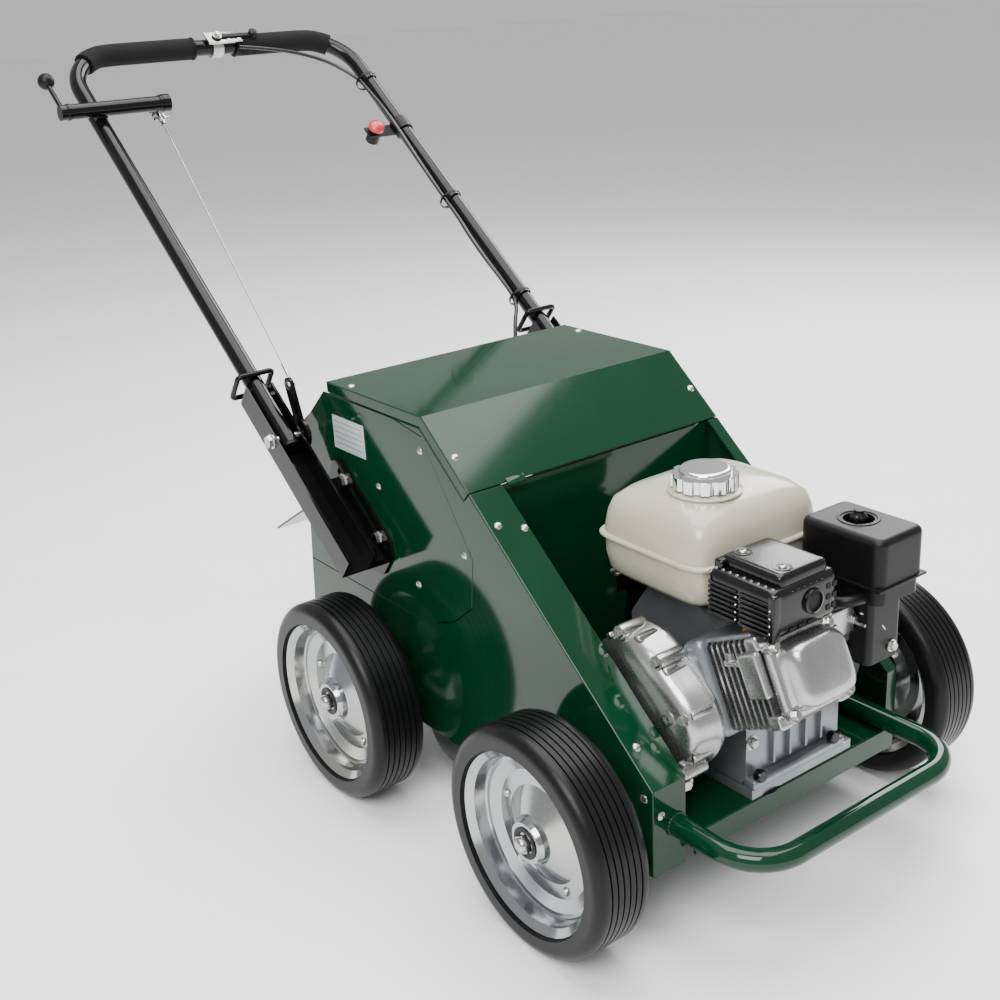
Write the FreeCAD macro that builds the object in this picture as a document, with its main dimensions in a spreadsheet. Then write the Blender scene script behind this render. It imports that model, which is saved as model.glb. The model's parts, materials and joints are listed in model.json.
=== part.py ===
import FreeCAD, Part
import math
import os
import Sketcher

# Walk-behind lawn dethatcher, in millimetres.
# X runs across the machine and -X is the belt side.  -Y is the engine end, +Z is up.
# The origin is on the ground, midway between the axles and between the two sides.

os.makedirs("parts", exist_ok=True)
doc = FreeCAD.newDocument("lawn_dethatcher")
sheet = doc.addObject("Spreadsheet::Sheet", "dims")

SIZES = {
    # wheels
    "wheel_radius": 130, "tyre_width": 72, "rim_radius": 105, "wheel_centre": 271, "axle_reach": 203,
    "axle_radius": 10, "bearing_radius": 17.5,
    # housing
    "side_x": 198.5, "belt_wall_x": 148, "sheet_thick": 2.5, "plate_thick": 3,
    "top_z": 512, "top_rear_y": 307, "top_front_y": 91, "nose_y": -292, "nose_top_z": 191, "base_z": 85,
    "shoulder_y": 378, "shoulder_z": 447, "heel_y": 405, "heel_z": 177, "foot_y": 414,
    "hood_edge_y": 5, "hood_edge_z": 440, "hood_lip": 14, "deck_z": 126, "deck_edge_x": 180, "deck_front_y": -304,
    "bar_radius": 12.5, "bar_leg_x": 165, "bar_front_y": 408, "bar_bend": 58, "bar_z": 139,
    "flap_hinge_y": 404, "flap_hinge_z": 312,
    # handle, in its own plane: reach is measured up the slope from the reference point
    "handle_y": 457, "handle_z": 521, "handle_angle": 38.05, "handle_x": 242, "tube_radius": 12.5, "tube_wall": 2.5,
    "handle_foot": -149, "handle_top": 620, "handle_bend": 76, "pivot_reach": -136, "pivot_radius": 5,
    "grip_radius": 17, "channel_low": -343, "channel_high": -52, "channel_wall": 3,
    "cross_reach": 479, "cross_rise": 22.5, "cross_radius": 11,
    # engine
    "crank_y": -200, "crank_z": 232, "cylinder_angle": 25,
    # rotor and drive
    "rotor_y": 92, "rotor_z": 98, "tip_radius": 95, "drum_radius": 25, "shaft_radius": 12.5,
    "drive_y": -198, "drive_z": 215, "drive_pulley_radius": 30, "driven_pulley_radius": 44, "belt_thick": 7,
    "lift_pivot_y": 349.904, "lift_pivot_z": 437.175,
}
for number, (alias, size) in enumerate(SIZES.items(), start=1):
    sheet.set(f"A{number}", alias)
    sheet.set(f"B{number}", str(size))
    sheet.setAlias(f"B{number}", alias)
doc.recompute()

RUN_GAP = 0.05      # radial clearance of a turning shaft
MOVE_GAP = 0.4      # clearance between moving and fixed pieces
NODES = []


# --- terms: a number, a dimension's name, or (name, offset) or (name, offset, factor) ---
def value(term):
    if isinstance(term, str):
        return float(SIZES[term])
    if isinstance(term, tuple):
        factor = term[2] if len(term) > 2 else 1
        return factor * SIZES[term[0]] + term[1]
    return float(term)


def formula(term):
    if isinstance(term, str):
        return f"dims.{term}"
    if isinstance(term, tuple):
        factor = term[2] if len(term) > 2 else 1
        return f"({factor} * dims.{term[0]} + ({term[1]}))"
    return f"({term})"


def bound(*terms):
    return any(isinstance(term, (str, tuple)) for term in terms)


def bind(target, prop, term):
    if bound(term):
        target.setExpression(prop, formula(term))
    elif "." not in prop:
        setattr(target, prop, value(term))


def place(target, position, rotation=None):
    """Set a Placement and bind each coordinate that names a dimension."""
    numbers = [value(term) for term in position]
    target.Placement = FreeCAD.Placement(FreeCAD.Vector(*numbers), rotation or FreeCAD.Rotation())
    for letter, term in zip("xyz", position):
        bind(target, f"Placement.Base.{letter}", term)


def node(target, label):
    target.Label = label
    NODES.append(target)
    return target


def turn(axis, angle):
    vectors = {"x": (1, 0, 0), "y": (0, 1, 0), "z": (0, 0, 1)}
    return FreeCAD.Rotation(FreeCAD.Vector(*vectors[axis]), angle)


# --- bodies: sketches, pads, pockets, revolutions and fillets ---
PLANES = {"x": "YZ_Plane", "y": "XZ_Plane", "z": "XY_Plane"}


def new_body(name, position=(0, 0, 0), rotation=None):
    body = doc.addObject("PartDesign::Body", name)
    place(body, position, rotation)
    return node(body, name)


def pin_point(sketch, geometry, point, across, up):
    """Fix one sketch point by its distances from the sketch's origin."""
    for kind, axis, term in (("DistanceX", -2, across), ("DistanceY", -1, up)):
        if value(term) == 0 and not bound(term):
            sketch.addConstraint(Sketcher.Constraint("PointOnObject", geometry, point, axis))
            continue
        index = sketch.addConstraint(Sketcher.Constraint(kind, -1, 1, geometry, point, value(term)))
        bind_constraint(sketch, index, term)


def bind_constraint(sketch, index, term):
    if bound(term):
        sketch.setExpression(f"Constraints[{index}]", formula(term))


def new_sketch(body, axis, offset_text, offset):
    sketch = body.newObject("Sketcher::SketchObject", body.Name + "_sketch")
    plane = [item for item in body.Origin.OriginFeatures if item.Role == PLANES[axis]][0]
    sketch.AttachmentSupport = [(plane, "")]
    sketch.MapMode = "FlatFace"
    sketch.AttachmentOffset = FreeCAD.Placement(FreeCAD.Vector(0, 0, offset), FreeCAD.Rotation())
    if offset_text:
        sketch.setExpression("AttachmentOffset.Base.z", offset_text)
    return sketch


def draw(sketch, outlines):
    """Each outline is ("circle", across, up, radius) or a list of corner points."""
    for outline in outlines:
        first = sketch.GeometryCount
        if outline[0] == "circle":
            across, up, radius = outline[1:]
            centre = FreeCAD.Vector(value(across), value(up), 0)
            sketch.addGeometry(Part.Circle(centre, FreeCAD.Vector(0, 0, 1), value(radius)), False)
            index = sketch.addConstraint(Sketcher.Constraint("Radius", first, value(radius)))
            bind_constraint(sketch, index, radius)
            pin_point(sketch, first, 3, across, up)
            continue
        corners = [FreeCAD.Vector(value(across), value(up), 0) for across, up in outline]
        count = len(corners)
        for step in range(count):
            sketch.addGeometry(Part.LineSegment(corners[step], corners[(step + 1) % count]), False)
        for step in range(count):
            sketch.addConstraint(Sketcher.Constraint("Coincident", first + step, 2, first + (step + 1) % count, 1))
        for step, (across, up) in enumerate(outline):
            pin_point(sketch, first + step, 1, across, up)


def pad(body, axis, outlines, low, high):
    """Pad outlines from low to high along a local axis."""
    sign, edge = (-1, high) if axis == "y" else (1, low)
    text = f"{sign} * {formula(edge)}" if bound(edge) else None
    sketch = new_sketch(body, axis, text, sign * value(edge))
    draw(sketch, outlines)
    feature = body.newObject("PartDesign::Pad", body.Name + "_pad")
    feature.Profile = sketch
    feature.Length = value(high) - value(low)
    if bound(low, high):
        feature.setExpression("Length", f"{formula(high)} - {formula(low)}")
    doc.recompute()
    return feature


def cut(body, axis, outlines, low, high):
    """Pocket outlines between low and high along a local axis, and confirm that it removes material."""
    before = body.Tip.Shape.Volume
    sign, edge = (-1, low) if axis == "y" else (1, high)
    text = f"{sign} * {formula(edge)}" if bound(edge) else None
    sketch = new_sketch(body, axis, text, sign * value(edge))
    draw(sketch, outlines)
    feature = body.newObject("PartDesign::Pocket", body.Name + "_pocket")
    feature.Profile = sketch
    feature.Length = value(high) - value(low)
    if bound(low, high):
        feature.setExpression("Length", f"{formula(high)} - {formula(low)}")
    doc.recompute()
    if feature.Shape.Volume >= before:
        raise RuntimeError(f"{body.Label}: pocket removes nothing")
    return feature


def revolve(body, outlines, kind="PartDesign::Revolution"):
    """Turn outlines, drawn as (along X, radius), about the body's X axis."""
    sketch = new_sketch(body, "z", None, 0)
    draw(sketch, outlines)
    feature = body.newObject(kind, body.Name + "_turned")
    feature.Profile = sketch
    feature.ReferenceAxis = (sketch, ["H_Axis"])
    feature.Angle = 360
    doc.recompute()
    return feature


def fillet(body, radius, chosen):
    base = body.Tip
    names = [f"Edge{index}" for index, edge in enumerate(base.Shape.Edges, start=1) if chosen(edge)]
    feature = body.newObject("PartDesign::Fillet", body.Name + "_fillet")
    feature.Base = (base, names)
    bind(feature, "Radius", radius)
    doc.recompute()
    if "Invalid" in feature.State or feature.Shape.isNull():
        raise RuntimeError(f"{body.Label}: fillet of radius {radius} fails on {len(names)} edges")
    return feature


def straight_along(axis):
    index = "xyz".index(axis)

    def chosen(edge):
        ends = [vertex.Point for vertex in edge.Vertexes]
        if len(ends) != 2 or edge.Curve.TypeId != "Part::GeomLine":
            return False
        step = ends[1] - ends[0]
        return abs(abs(step[index]) - step.Length) < 1e-6

    return chosen


def lying_at(axis, position):
    """Edges that lie wholly in one plane across an axis."""
    index = "xyz".index(axis)

    def chosen(edge):
        box = edge.BoundBox
        low = (box.XMin, box.YMin, box.ZMin)[index]
        high = (box.XMax, box.YMax, box.ZMax)[index]
        return abs(low - position) < 1e-3 and abs(high - position) < 1e-3

    return chosen


def u_tube(body, left_x, left_foot, right_x, right_foot, top, bend, radius, wall):
    """A hollow tube bent to a U in the body's XY plane, open towards -Y."""
    xl, yl, xr, yr = value(left_x), value(left_foot), value(right_x), value(right_foot)
    crown, turn_radius = value(top), value(bend)
    vector = FreeCAD.Vector
    path = new_sketch(body, "z", None, 0)
    up = vector(0, 0, 1)
    path.addGeometry(Part.LineSegment(vector(xl, yl, 0), vector(xl, crown - turn_radius, 0)), False)
    corner = Part.Circle(vector(xl + turn_radius, crown - turn_radius, 0), up, turn_radius)
    path.addGeometry(Part.ArcOfCircle(corner, math.pi / 2, math.pi), False)
    path.addGeometry(Part.LineSegment(vector(xl + turn_radius, crown, 0), vector(xr - turn_radius, crown, 0)), False)
    corner = Part.Circle(vector(xr - turn_radius, crown - turn_radius, 0), up, turn_radius)
    path.addGeometry(Part.ArcOfCircle(corner, 0, math.pi / 2), False)
    path.addGeometry(Part.LineSegment(vector(xr, crown - turn_radius, 0), vector(xr, yr, 0)), False)
    for one, end, other, start in ((0, 2, 1, 2), (1, 1, 2, 1), (2, 2, 3, 2), (3, 1, 4, 1)):
        path.addConstraint(Sketcher.Constraint("Tangent", one, end, other, start))
    for arc in (1, 3):
        index = path.addConstraint(Sketcher.Constraint("Radius", arc, turn_radius))
        bind_constraint(path, index, bend)
    path.addConstraint(Sketcher.Constraint("Vertical", 0))
    path.addConstraint(Sketcher.Constraint("Horizontal", 2))
    path.addConstraint(Sketcher.Constraint("Vertical", 4))
    pin_point(path, 0, 1, left_x, left_foot)
    pin_point(path, 4, 2, right_x, right_foot)
    index = path.addConstraint(Sketcher.Constraint("DistanceY", -1, 1, 2, 1, crown))
    bind_constraint(path, index, top)
    text = f"-1 * {formula(left_foot)}" if bound(left_foot) else None
    section = new_sketch(body, "y", text, -yl)
    inner = (radius, -value(wall)) if isinstance(radius, str) else value(radius) - value(wall)
    draw(section, [("circle", left_x, 0, radius), ("circle", left_x, 0, inner)])
    tube = body.newObject("PartDesign::AdditivePipe", body.Name + "_pipe")
    tube.Profile = section
    tube.Spine = path
    doc.recompute()
    return tube


# --- part primitives and booleans ---
AXIS_TURNS = {"x": turn("y", 90), "y": turn("x", -90), "z": FreeCAD.Rotation()}


def cylinder(name, axis, start, length, radius):
    """A cylinder that runs from its start point along +axis."""
    shape = doc.addObject("Part::Cylinder", name)
    bind(shape, "Radius", radius)
    bind(shape, "Height", length)
    place(shape, start, AXIS_TURNS[axis])
    return shape


def block(name, low, size):
    shape = doc.addObject("Part::Box", name)
    for prop, term in zip(("Length", "Width", "Height"), size):
        bind(shape, prop, term)
    place(shape, low)
    return shape


def hexagon(name, axis, start, length, circumradius):
    shape = doc.addObject("Part::Prism", name)
    shape.Polygon = 6
    shape.Circumradius = circumradius
    shape.Height = length
    place(shape, start, AXIS_TURNS[axis])
    return shape


def fuse(name, shapes):
    joined = doc.addObject("Part::MultiFuse", name)
    joined.Shapes = shapes
    return joined


def subtract(name, base, tool):
    result = doc.addObject("Part::Cut", name)
    result.Base = base
    result.Tool = tool
    return result


def group(name, shapes):
    """Several separate solids of one node."""
    collected = doc.addObject("Part::Compound", name)
    collected.Links = shapes
    return collected


# --- places in the handle's plane ---
SLOPE = math.radians(SIZES["handle_angle"])
HANDLE_TURN = turn("x", SIZES["handle_angle"])


def on_handle(across, reach, rise):
    """The machine coordinates of a point given across, up the handle, and square to its plane."""
    return (across,
            SIZES["handle_y"] + reach * math.cos(SLOPE) - rise * math.sin(SLOPE),
            SIZES["handle_z"] + reach * math.sin(SLOPE) + rise * math.cos(SLOPE))


def handle_body(name):
    body = new_body(name, (0, "handle_y", "handle_z"), HANDLE_TURN)
    body.setExpression("Placement.Rotation.Angle", "dims.handle_angle")
    return body


def off_line(ends, distance):
    """Move a (y, z) line's two ends square to it, towards the inside of the housing."""
    (y0, z0), (y1, z1) = ends
    length = math.hypot(y1 - y0, z1 - z0)
    across = (-(z1 - z0) / length * distance, (y1 - y0) / length * distance)
    return [(y0 + across[0], z0 + across[1]), (y1 + across[0], z1 + across[1])]


# ---------------------------------------------------------------- housing
def housing_points(hood_drop):
    """The side's outline; under the hood its top edge drops to make room for the sheet and its lips."""
    run = value("top_front_y") - value("hood_edge_y")
    fall = value("top_z") - value("hood_edge_z")
    length = math.hypot(run, fall)
    drop_y, drop_z = hood_drop * fall / length, hood_drop * run / length
    half = hood_drop * math.tan(math.atan2(fall, run) / 2)
    return [
        (("top_rear_y", -1.5), ("top_z", -hood_drop)),
        (("top_front_y", half), ("top_z", -hood_drop)),
        (("hood_edge_y", drop_y), ("hood_edge_z", -drop_z)),
        (("hood_edge_y", -1.2), ("hood_edge_z", -1.0)),
        ("nose_y", "nose_top_z"),
        ("nose_y", "base_z"),
        ("foot_y", "base_z"),
        ("heel_y", "heel_z"),
        ("shoulder_y", "shoulder_z"),
    ]


def inset_points(points, inset):
    """Move every corner of a closed (y, z) outline inwards by the same wall thickness."""
    flat = [(value(y), value(z)) for y, z in points]
    count = len(flat)
    moved = []
    for step in range(count):
        before = off_line([flat[step - 1], flat[step]], inset)
        after = off_line([flat[step], flat[(step + 1) % count]], inset)
        (x1, y1), (x2, y2) = before
        (x3, y3), (x4, y4) = after
        area = (x1 - x2) * (y3 - y4) - (y1 - y2) * (x3 - x4)
        along = ((x1 - x3) * (y3 - y4) - (y1 - y3) * (x3 - x4)) / area
        moved.append((x1 + along * (x2 - x1), y1 + along * (y2 - y1)))
    return moved


HATCH = [(154, 496.5), (93, 487), (4, 358), (12, 295), (50, 264), (110, 240), (397, 240), (374.5, 446), (318, 496.5)]


def grown(points, amount):
    return inset_points(points, -amount)


def right_frame_plate():
    body = new_body("right_frame_plate")
    outline = inset_points(housing_points(2.2), 3.5)
    pad(body, "x", [outline], ("belt_wall_x", -3, -1), ("belt_wall_x", 0, -1))
    holes = [("circle", "drive_y", "drive_z", 26), ("circle", "rotor_y", ("rotor_z", 11), 42), ("circle", 24, 199, 27)]
    cut(body, "x", holes, ("belt_wall_x", -4, -1), ("belt_wall_x", 1, -1))


def axle_holes():
    """The holes in a side through which the two axle stubs are bolted."""
    return [("circle", ("axle_reach", 0, end), "wheel_radius", ("axle_radius", 0.2)) for end in (-1, 1)]


def belt_cover():
    """The folded case over the belt: side skin, sloped rail, front post and rim."""
    body = new_body("belt_cover")
    outline = housing_points(14.6)
    pad(body, "x", [outline], ("side_x", 0, -1), ("belt_wall_x", -3.3, -1))
    fillet(body, 2, lying_at("x", -value("side_x")))
    cut(body, "x", [inset_points(outline, 2.5)], ("side_x", 2.5, -1), ("belt_wall_x", -3.3, -1))
    cut(body, "x", [grown(HATCH, 1.0)] + axle_holes(), ("side_x", -1, -1), ("side_x", 3, -1))
    underside = [(-60, ("base_z", -5)), (210, ("base_z", -5)), (210, ("base_z", 6)), (-60, ("base_z", 6))]
    cut(body, "x", [underside], ("side_x", 2.5, -1), ("belt_wall_x", -3.3, -1))


def belt_hatch():
    body = new_body("belt_hatch")
    pad(body, "x", [HATCH], ("side_x", 0, -1), ("side_x", 2.5, -1))
    fillet(body, 0.8, lying_at("x", -value("side_x")))


def left_frame_plate():
    """The plain side, with a fold turned inwards along the slope and the front."""
    body = new_body("left_frame_plate")
    outline = housing_points(14.6)
    pad(body, "x", [outline], ("side_x", -18), "side_x")
    fillet(body, 2, lying_at("x", value("side_x")))
    cut(body, "x", [inset_points(outline, 3)], ("side_x", -19), ("side_x", -3))
    open_rear = [(("hood_edge_y", 16), 520), (("hood_edge_y", 16), 100), (("nose_y", 3), 100),
                 (("nose_y", 3), 60), (440, 60), (440, 520)]
    cut(body, "x", [open_rear], ("side_x", -19), ("side_x", -3))
    cut(body, "x", axle_holes(), ("side_x", -4), ("side_x", 1))


def hood():
    """The bent lid: top plate, upper part of the slope and a lip down each side."""
    body = new_body("hood")
    top = [("top_rear_y", "top_z"), ("top_front_y", "top_z"), ("hood_edge_y", "hood_edge_z")]
    flat = [(value(y), value(z)) for y, z in top]
    slope = off_line([flat[1], flat[2]], 2)
    deep = off_line([flat[1], flat[2]], value("hood_lip"))
    bend = math.tan(math.atan2(flat[1][1] - flat[2][1], flat[1][0] - flat[2][0]) / 2)

    def strip(depth, low_corner):
        return top + [low_corner, (("top_front_y", depth * bend), ("top_z", -depth)), ("top_rear_y", ("top_z", -depth))]

    pad(body, "x", [strip(2, slope[1])], ("side_x", 0, -1), "side_x")
    pad(body, "x", [strip(value("hood_lip"), deep[1])], ("side_x", 0, -1), ("side_x", 2, -1))
    pad(body, "x", [strip(value("hood_lip"), deep[1])], ("side_x", -2), "side_x")
    fillet(body, 1.5, lambda edge: lying_at("x", -value("side_x"))(edge) or lying_at("x", value("side_x"))(edge))


def engine_deck():
    """The engine's bed, its front edge turned down, with the firewall leaning back clear of the rotor, then upright."""
    body = new_body("engine_deck")
    inner = ("belt_wall_x", 0.3, -1)
    pad(body, "z", [[(inner, "deck_front_y"), ("deck_edge_x", "deck_front_y"), ("deck_edge_x", -12), (inner, -12)]],
        ("deck_z", -4), "deck_z")
    pad(body, "z", [[(inner, "deck_front_y"), ("deck_edge_x", "deck_front_y"),
                     ("deck_edge_x", ("deck_front_y", 4)), (inner, ("deck_front_y", 4))]],
        ("deck_z", -28), ("deck_z", -4))
    firewall = [(-14, ("deck_z", -4)), (-10, ("deck_z", -4)), (11, 172), (11, ("hood_edge_z", -4)),
                (7, ("hood_edge_z", -4)), (7, 174), (-14, "deck_z")]
    pad(body, "x", [firewall], inner, "deck_edge_x")
    cut(body, "z", [("circle", -6, -284, 9)], ("deck_z", -5), ("deck_z", 1))
    fillet(body, 2.5, lambda edge: straight_along("x")(edge) and abs(edge.BoundBox.ZMax - value("deck_z")) < 1e-3
           and edge.BoundBox.YMax < -300)


def front_bar():
    body = new_body("front_bar", (0, 0, "bar_z"), turn("z", 180))
    u_tube(body, ("bar_leg_x", 0, -1), 229, "bar_leg_x", ("nose_y", 0.2, -1), "bar_front_y", "bar_bend",
           "bar_radius", 2.5)


def rear_panel():
    body = new_body("rear_panel")
    line = [(value("top_rear_y") - 1.5, value("top_z") - 2.2), (value("shoulder_y") - 0.5, value("shoulder_z")),
            (value("flap_hinge_y") - 12, value("flap_hinge_z") + 8)]
    backing = [(y - 2.4, z - 1) for y, z in line]
    pad(body, "x", [line + backing[::-1]], ("belt_wall_x", 0.3, -1), ("side_x", -3.2))


def rotor_shroud():
    """The curved guard over the rotor, from the firewall back to the discharge."""
    ring = cylinder("shroud_outer", "x", (("belt_wall_x", 0.3, -1), "rotor_y", "rotor_z"), 327.5, 171)
    bore = cylinder("shroud_bore", "x", (("belt_wall_x", -1, -1), "rotor_y", "rotor_z"), 332, 168)
    hoop = subtract("shroud_hoop", ring, bore)
    keep = block("shroud_keep", (("belt_wall_x", -2, -1), 12, 150), (340, 260, 130))
    shroud = doc.addObject("Part::Common", "shroud")
    shroud.Base = hoop
    shroud.Tool = keep
    node(shroud, "rotor_shroud")


def rear_flap():
    """The discharge flap: rolled eye, blade and turned side edges."""
    body = new_body("rear_flap", (0, "flap_hinge_y", "flap_hinge_z"), turn("x", -31))
    half = ("side_x", -6)
    other = ("side_x", 6, -1)
    pad(body, "x", [("circle", 0, 0, 6)], other, half)
    pad(body, "x", [[(0, 1.5), (122, 1.5), (122, -1.5), (0, -1.5)]], other, half)
    cut(body, "x", [("circle", 0, 0, 3 + RUN_GAP)], ("side_x", 5, -1), ("side_x", -5))


def hinge_pins():
    """The flap's pin in its two ears, and the stub that the rotor's left arm swings on."""
    ears = [cylinder("flap_pin", "x", (("side_x", 2.6, -1), "flap_hinge_y", "flap_hinge_z"), 391.8, 3),
            cylinder("carrier_pin", "x", (182, "drive_y", "drive_z"), 13.4, 8)]
    for name, low in (("ear_right", ("side_x", 2.7, -1)), ("ear_left", ("side_x", -5.7))):
        ears.append(block(name, (low, ("flap_hinge_y", -11.5), ("flap_hinge_z", -9)), (2.6, 21, 18)))
    node(fuse("hinge_pins", ears), "hinge_pins")


def button_screw(name, position, rotation):
    """A low round head on a short shank; local +Z is the way the head faces."""
    head = doc.addObject("Part::Sphere", name + "_head")
    head.Radius = 6.2
    head.Angle1 = 35
    head.Angle2 = 90
    lift = -6.2 * math.sin(math.radians(35))
    axis = rotation.multVec(FreeCAD.Vector(0, 0, 1))
    place(head, [position[step] + axis[step] * lift for step in range(3)], rotation)
    shank = doc.addObject("Part::Cylinder", name + "_shank")
    shank.Radius = 2.4
    shank.Height = 4.5
    place(shank, [position[step] - axis[step] * 4.2 for step in range(3)], rotation)
    return fuse(name, [head, shank])


def cover_screws():
    side, top, nose = value("side_x"), value("top_z"), value("nose_y")
    slope_angle = math.degrees(math.atan2(value("top_z") - value("nose_top_z"), value("top_front_y") - nose))
    length = math.hypot(value("top_front_y") - nose, top - value("nose_top_z"))
    along = ((nose - value("top_front_y")) / length, (value("nose_top_z") - top) / length)
    screws = []
    right_side = [(99, 468), (21, 359), (124, 288), (200, 397), (-279, 178)]
    left_side = [(99, 468), (21, 359), (180, 480), (-279, 178), (-150, 270)]
    for step, (y, z) in enumerate(right_side):
        screws.append(button_screw(f"right_screw_{step}", (-side, y, z), turn("y", -90)))
    for step, (y, z) in enumerate(left_side):
        screws.append(button_screw(f"left_screw_{step}", (side, y, z), turn("y", 90)))
    for step, (x, reach) in enumerate([(-187, 63), (189, 63), (-186, 161), (-140 - 16, 174), (-184, 450)]):
        spot = (x, value("top_front_y") + along[0] * reach, top + along[1] * reach)
        screws.append(button_screw(f"slope_screw_{step}", spot, turn("x", slope_angle)))
    for step, x in enumerate((-187, 187)):
        screws.append(button_screw(f"top_screw_{step}", (x, 265, top), FreeCAD.Rotation()))
    screws.append(button_screw("post_screw", (-186, nose, 158), turn("x", 90)))
    return screws


# ---------------------------------------------------------------- wheels
WHEELS = {"front_right": (-1, -1), "front_left": (1, -1), "rear_right": (-1, 1), "rear_left": (1, 1)}


def wheel_place(side, end):
    return (("wheel_centre", 0, side), ("axle_reach", 0, end), "wheel_radius")


def facing(side):
    """A wheel's local +X points outwards."""
    return turn("z", 0 if side > 0 else 180)


def tyre(name, side, end):
    body = new_body("tyre_" + name, wheel_place(side, end), facing(side))
    half = ("tyre_width", 0, 0.5)
    minus = ("tyre_width", 0, -0.5)
    seat = ("rim_radius", -7)
    revolve(body, [[(minus, "wheel_radius"), (half, "wheel_radius"), (half, ("rim_radius", 0)), (26, ("rim_radius", 0)),
                    (24, seat), (-24, seat), (-26, ("rim_radius", 0)), (minus, ("rim_radius", 0))]])
    shoulder = [lying_at("x", value(half)), lying_at("x", value(minus))]
    fillet(body, 13, lambda edge: any(test(edge) for test in shoulder) and edge.BoundBox.ZMax > 125)
    grooves = []
    for place_x in (-20, -12, -4, 4, 12, 20):
        grooves.append([(place_x - 1, 132), (place_x + 1, 132), (place_x + 1, 127.5), (place_x - 1, 127.5)])
    before = body.Tip.Shape.Volume
    revolve(body, grooves, "PartDesign::Groove")
    if body.Tip.Shape.Volume >= before:
        raise RuntimeError("tread grooves remove nothing")


def rim(name, side, end):
    """A pressed disc wheel: two rolled lips, a barrel, a stepped dish, a cone and a bearing cup."""
    body = new_body("rim_" + name, wheel_place(side, end), facing(side))
    lip = ("rim_radius", 0)
    seat = ("rim_radius", -7)
    bore = ("bearing_radius", RUN_GAP)
    outline = [
        (30, lip), (26, lip), (24, seat), (-24, seat), (-26, lip), (-30, lip), (-31, ("rim_radius", -2)),
        (-27, ("rim_radius", -10)), (3, ("rim_radius", -10)), (4, 84), (-2, 72), (-2, 58), (12, 27),
        (-10, 24), (-10, bore), (27, bore), (27, 23), (22, 26), (16, 28), (3, 56), (3, 73), (9, 86),
        (9, ("rim_radius", -13)), (24, ("rim_radius", -10)), (31, ("rim_radius", -2)),
    ]
    revolve(body, [outline])


def axle_stubs():
    shapes = []
    for name, (side, end) in WHEELS.items():
        y = ("axle_reach", 0, end)
        inner = 192
        outer = 297
        low = inner if side > 0 else -outer
        shaft = cylinder(f"axle_{name}", "x", (low, y, "wheel_radius"), outer - inner, "axle_radius")
        flange_low = 198.7 if side > 0 else -204.7
        flange = cylinder(f"axle_flange_{name}", "x", (flange_low, y, "wheel_radius"), 6, 32)
        collar_low = 204.7 if side > 0 else -258
        collar = cylinder(f"axle_collar_{name}", "x", (collar_low, y, "wheel_radius"), 53.3, 14)
        head_low = 297 if side > 0 else -304
        head = hexagon(f"axle_bolt_{name}", "x", (head_low, y, "wheel_radius"), 7, 11)
        shapes.append(fuse(f"axle_set_{name}", [shaft, flange, collar, head]))
    node(group("axle_stubs", shapes), "axle_stubs")


def wheel_bearings():
    rings = []
    for name, (side, end) in WHEELS.items():
        y = ("axle_reach", 0, end)
        low = 262 if side > 0 else -297
        outer = cylinder(f"bearing_outer_{name}", "x", (low, y, "wheel_radius"), 35, "bearing_radius")
        bore = cylinder(f"bearing_bore_{name}", "x", (low - 1, y, "wheel_radius"), 37, "axle_radius")
        rings.append(subtract(f"bearing_{name}", outer, bore))
    node(group("wheel_bearings", rings), "wheel_bearings")


# ---------------------------------------------------------------- handle
def handlebar():
    """The bent tube with the short cross tube welded over its right leg."""
    body = handle_body("handle_tube")
    NODES.remove(body)
    u_tube(body, ("handle_x", 0, -1), "handle_foot", "handle_x", "handle_foot", "handle_top", "handle_bend",
           "tube_radius", "tube_wall")
    for side in (-1, 1):
        low, high = sorted((side * 228, side * 256))
        cut(body, "x", [("circle", "pivot_reach", 0, "pivot_radius")], low, high)
    spot = on_handle(0, SIZES["cross_reach"], SIZES["cross_rise"])
    outer = cylinder("cross_outer", "x", (-291, spot[1], spot[2]), 143, "cross_radius")
    bore = cylinder("cross_bore", "x", (-292, spot[1], spot[2]), 145, 8 + RUN_GAP)
    node(fuse("handlebar", [body, subtract("cross_tube", outer, bore)]), "handlebar")


def grips():
    shapes = []
    spot = on_handle(0, SIZES["handle_top"], 0)
    for name, low, length in (("right", -165, 137), ("left", 44, 121)):
        outer = cylinder(f"grip_outer_{name}", "x", (low, spot[1], spot[2]), length, "grip_radius")
        bore = cylinder(f"grip_bore_{name}", "x", (low - 1, spot[1], spot[2]), length + 2, "tube_radius")
        shapes.append(subtract(f"grip_{name}", outer, bore))
    node(group("grips", shapes), "grips")


def bracket(name, side):
    """A handle bracket: base plate on the side with its slot, two stand-offs and the U channel."""
    body = handle_body(name)

    def span(near, far):
        return (near, far) if side > 0 else (-far, -near)

    inner, outer, wall = 222, 262, value("channel_wall")
    low, high = "channel_low", "channel_high"
    base = [(-352, -34), (-334, -48), (-212, -48), (-196, -34), (-190, 6), (-200, 22), (-338, 22), (-352, 8)]
    pad(body, "x", [base], *span(198.8, 202.3))
    pad(body, "x", [[(-340, -30), (-205, -30), (-205, -16), (-340, -16)]], *span(202.3, inner))
    pad(body, "x", [[(low, -23), (high, -23), (high, 10), (low, 10)]], *span(inner, outer))
    cut(body, "x", [[("channel_low", -20), ("channel_high", -20), ("channel_high", 12), ("channel_low", 12)]],
        *span(inner + wall, outer - wall))
    cut(body, "x", [[(-336, 0), (-206, 0), (-206, 9.4), (-336, 9.4)]], *span(190, 210))
    cut(body, "x", [("circle", "pivot_reach", 0, "pivot_radius")], *span(215, 270))
    fillet(body, 5, lambda edge: straight_along("x")(edge) and edge.BoundBox.YMax < -345)


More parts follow.
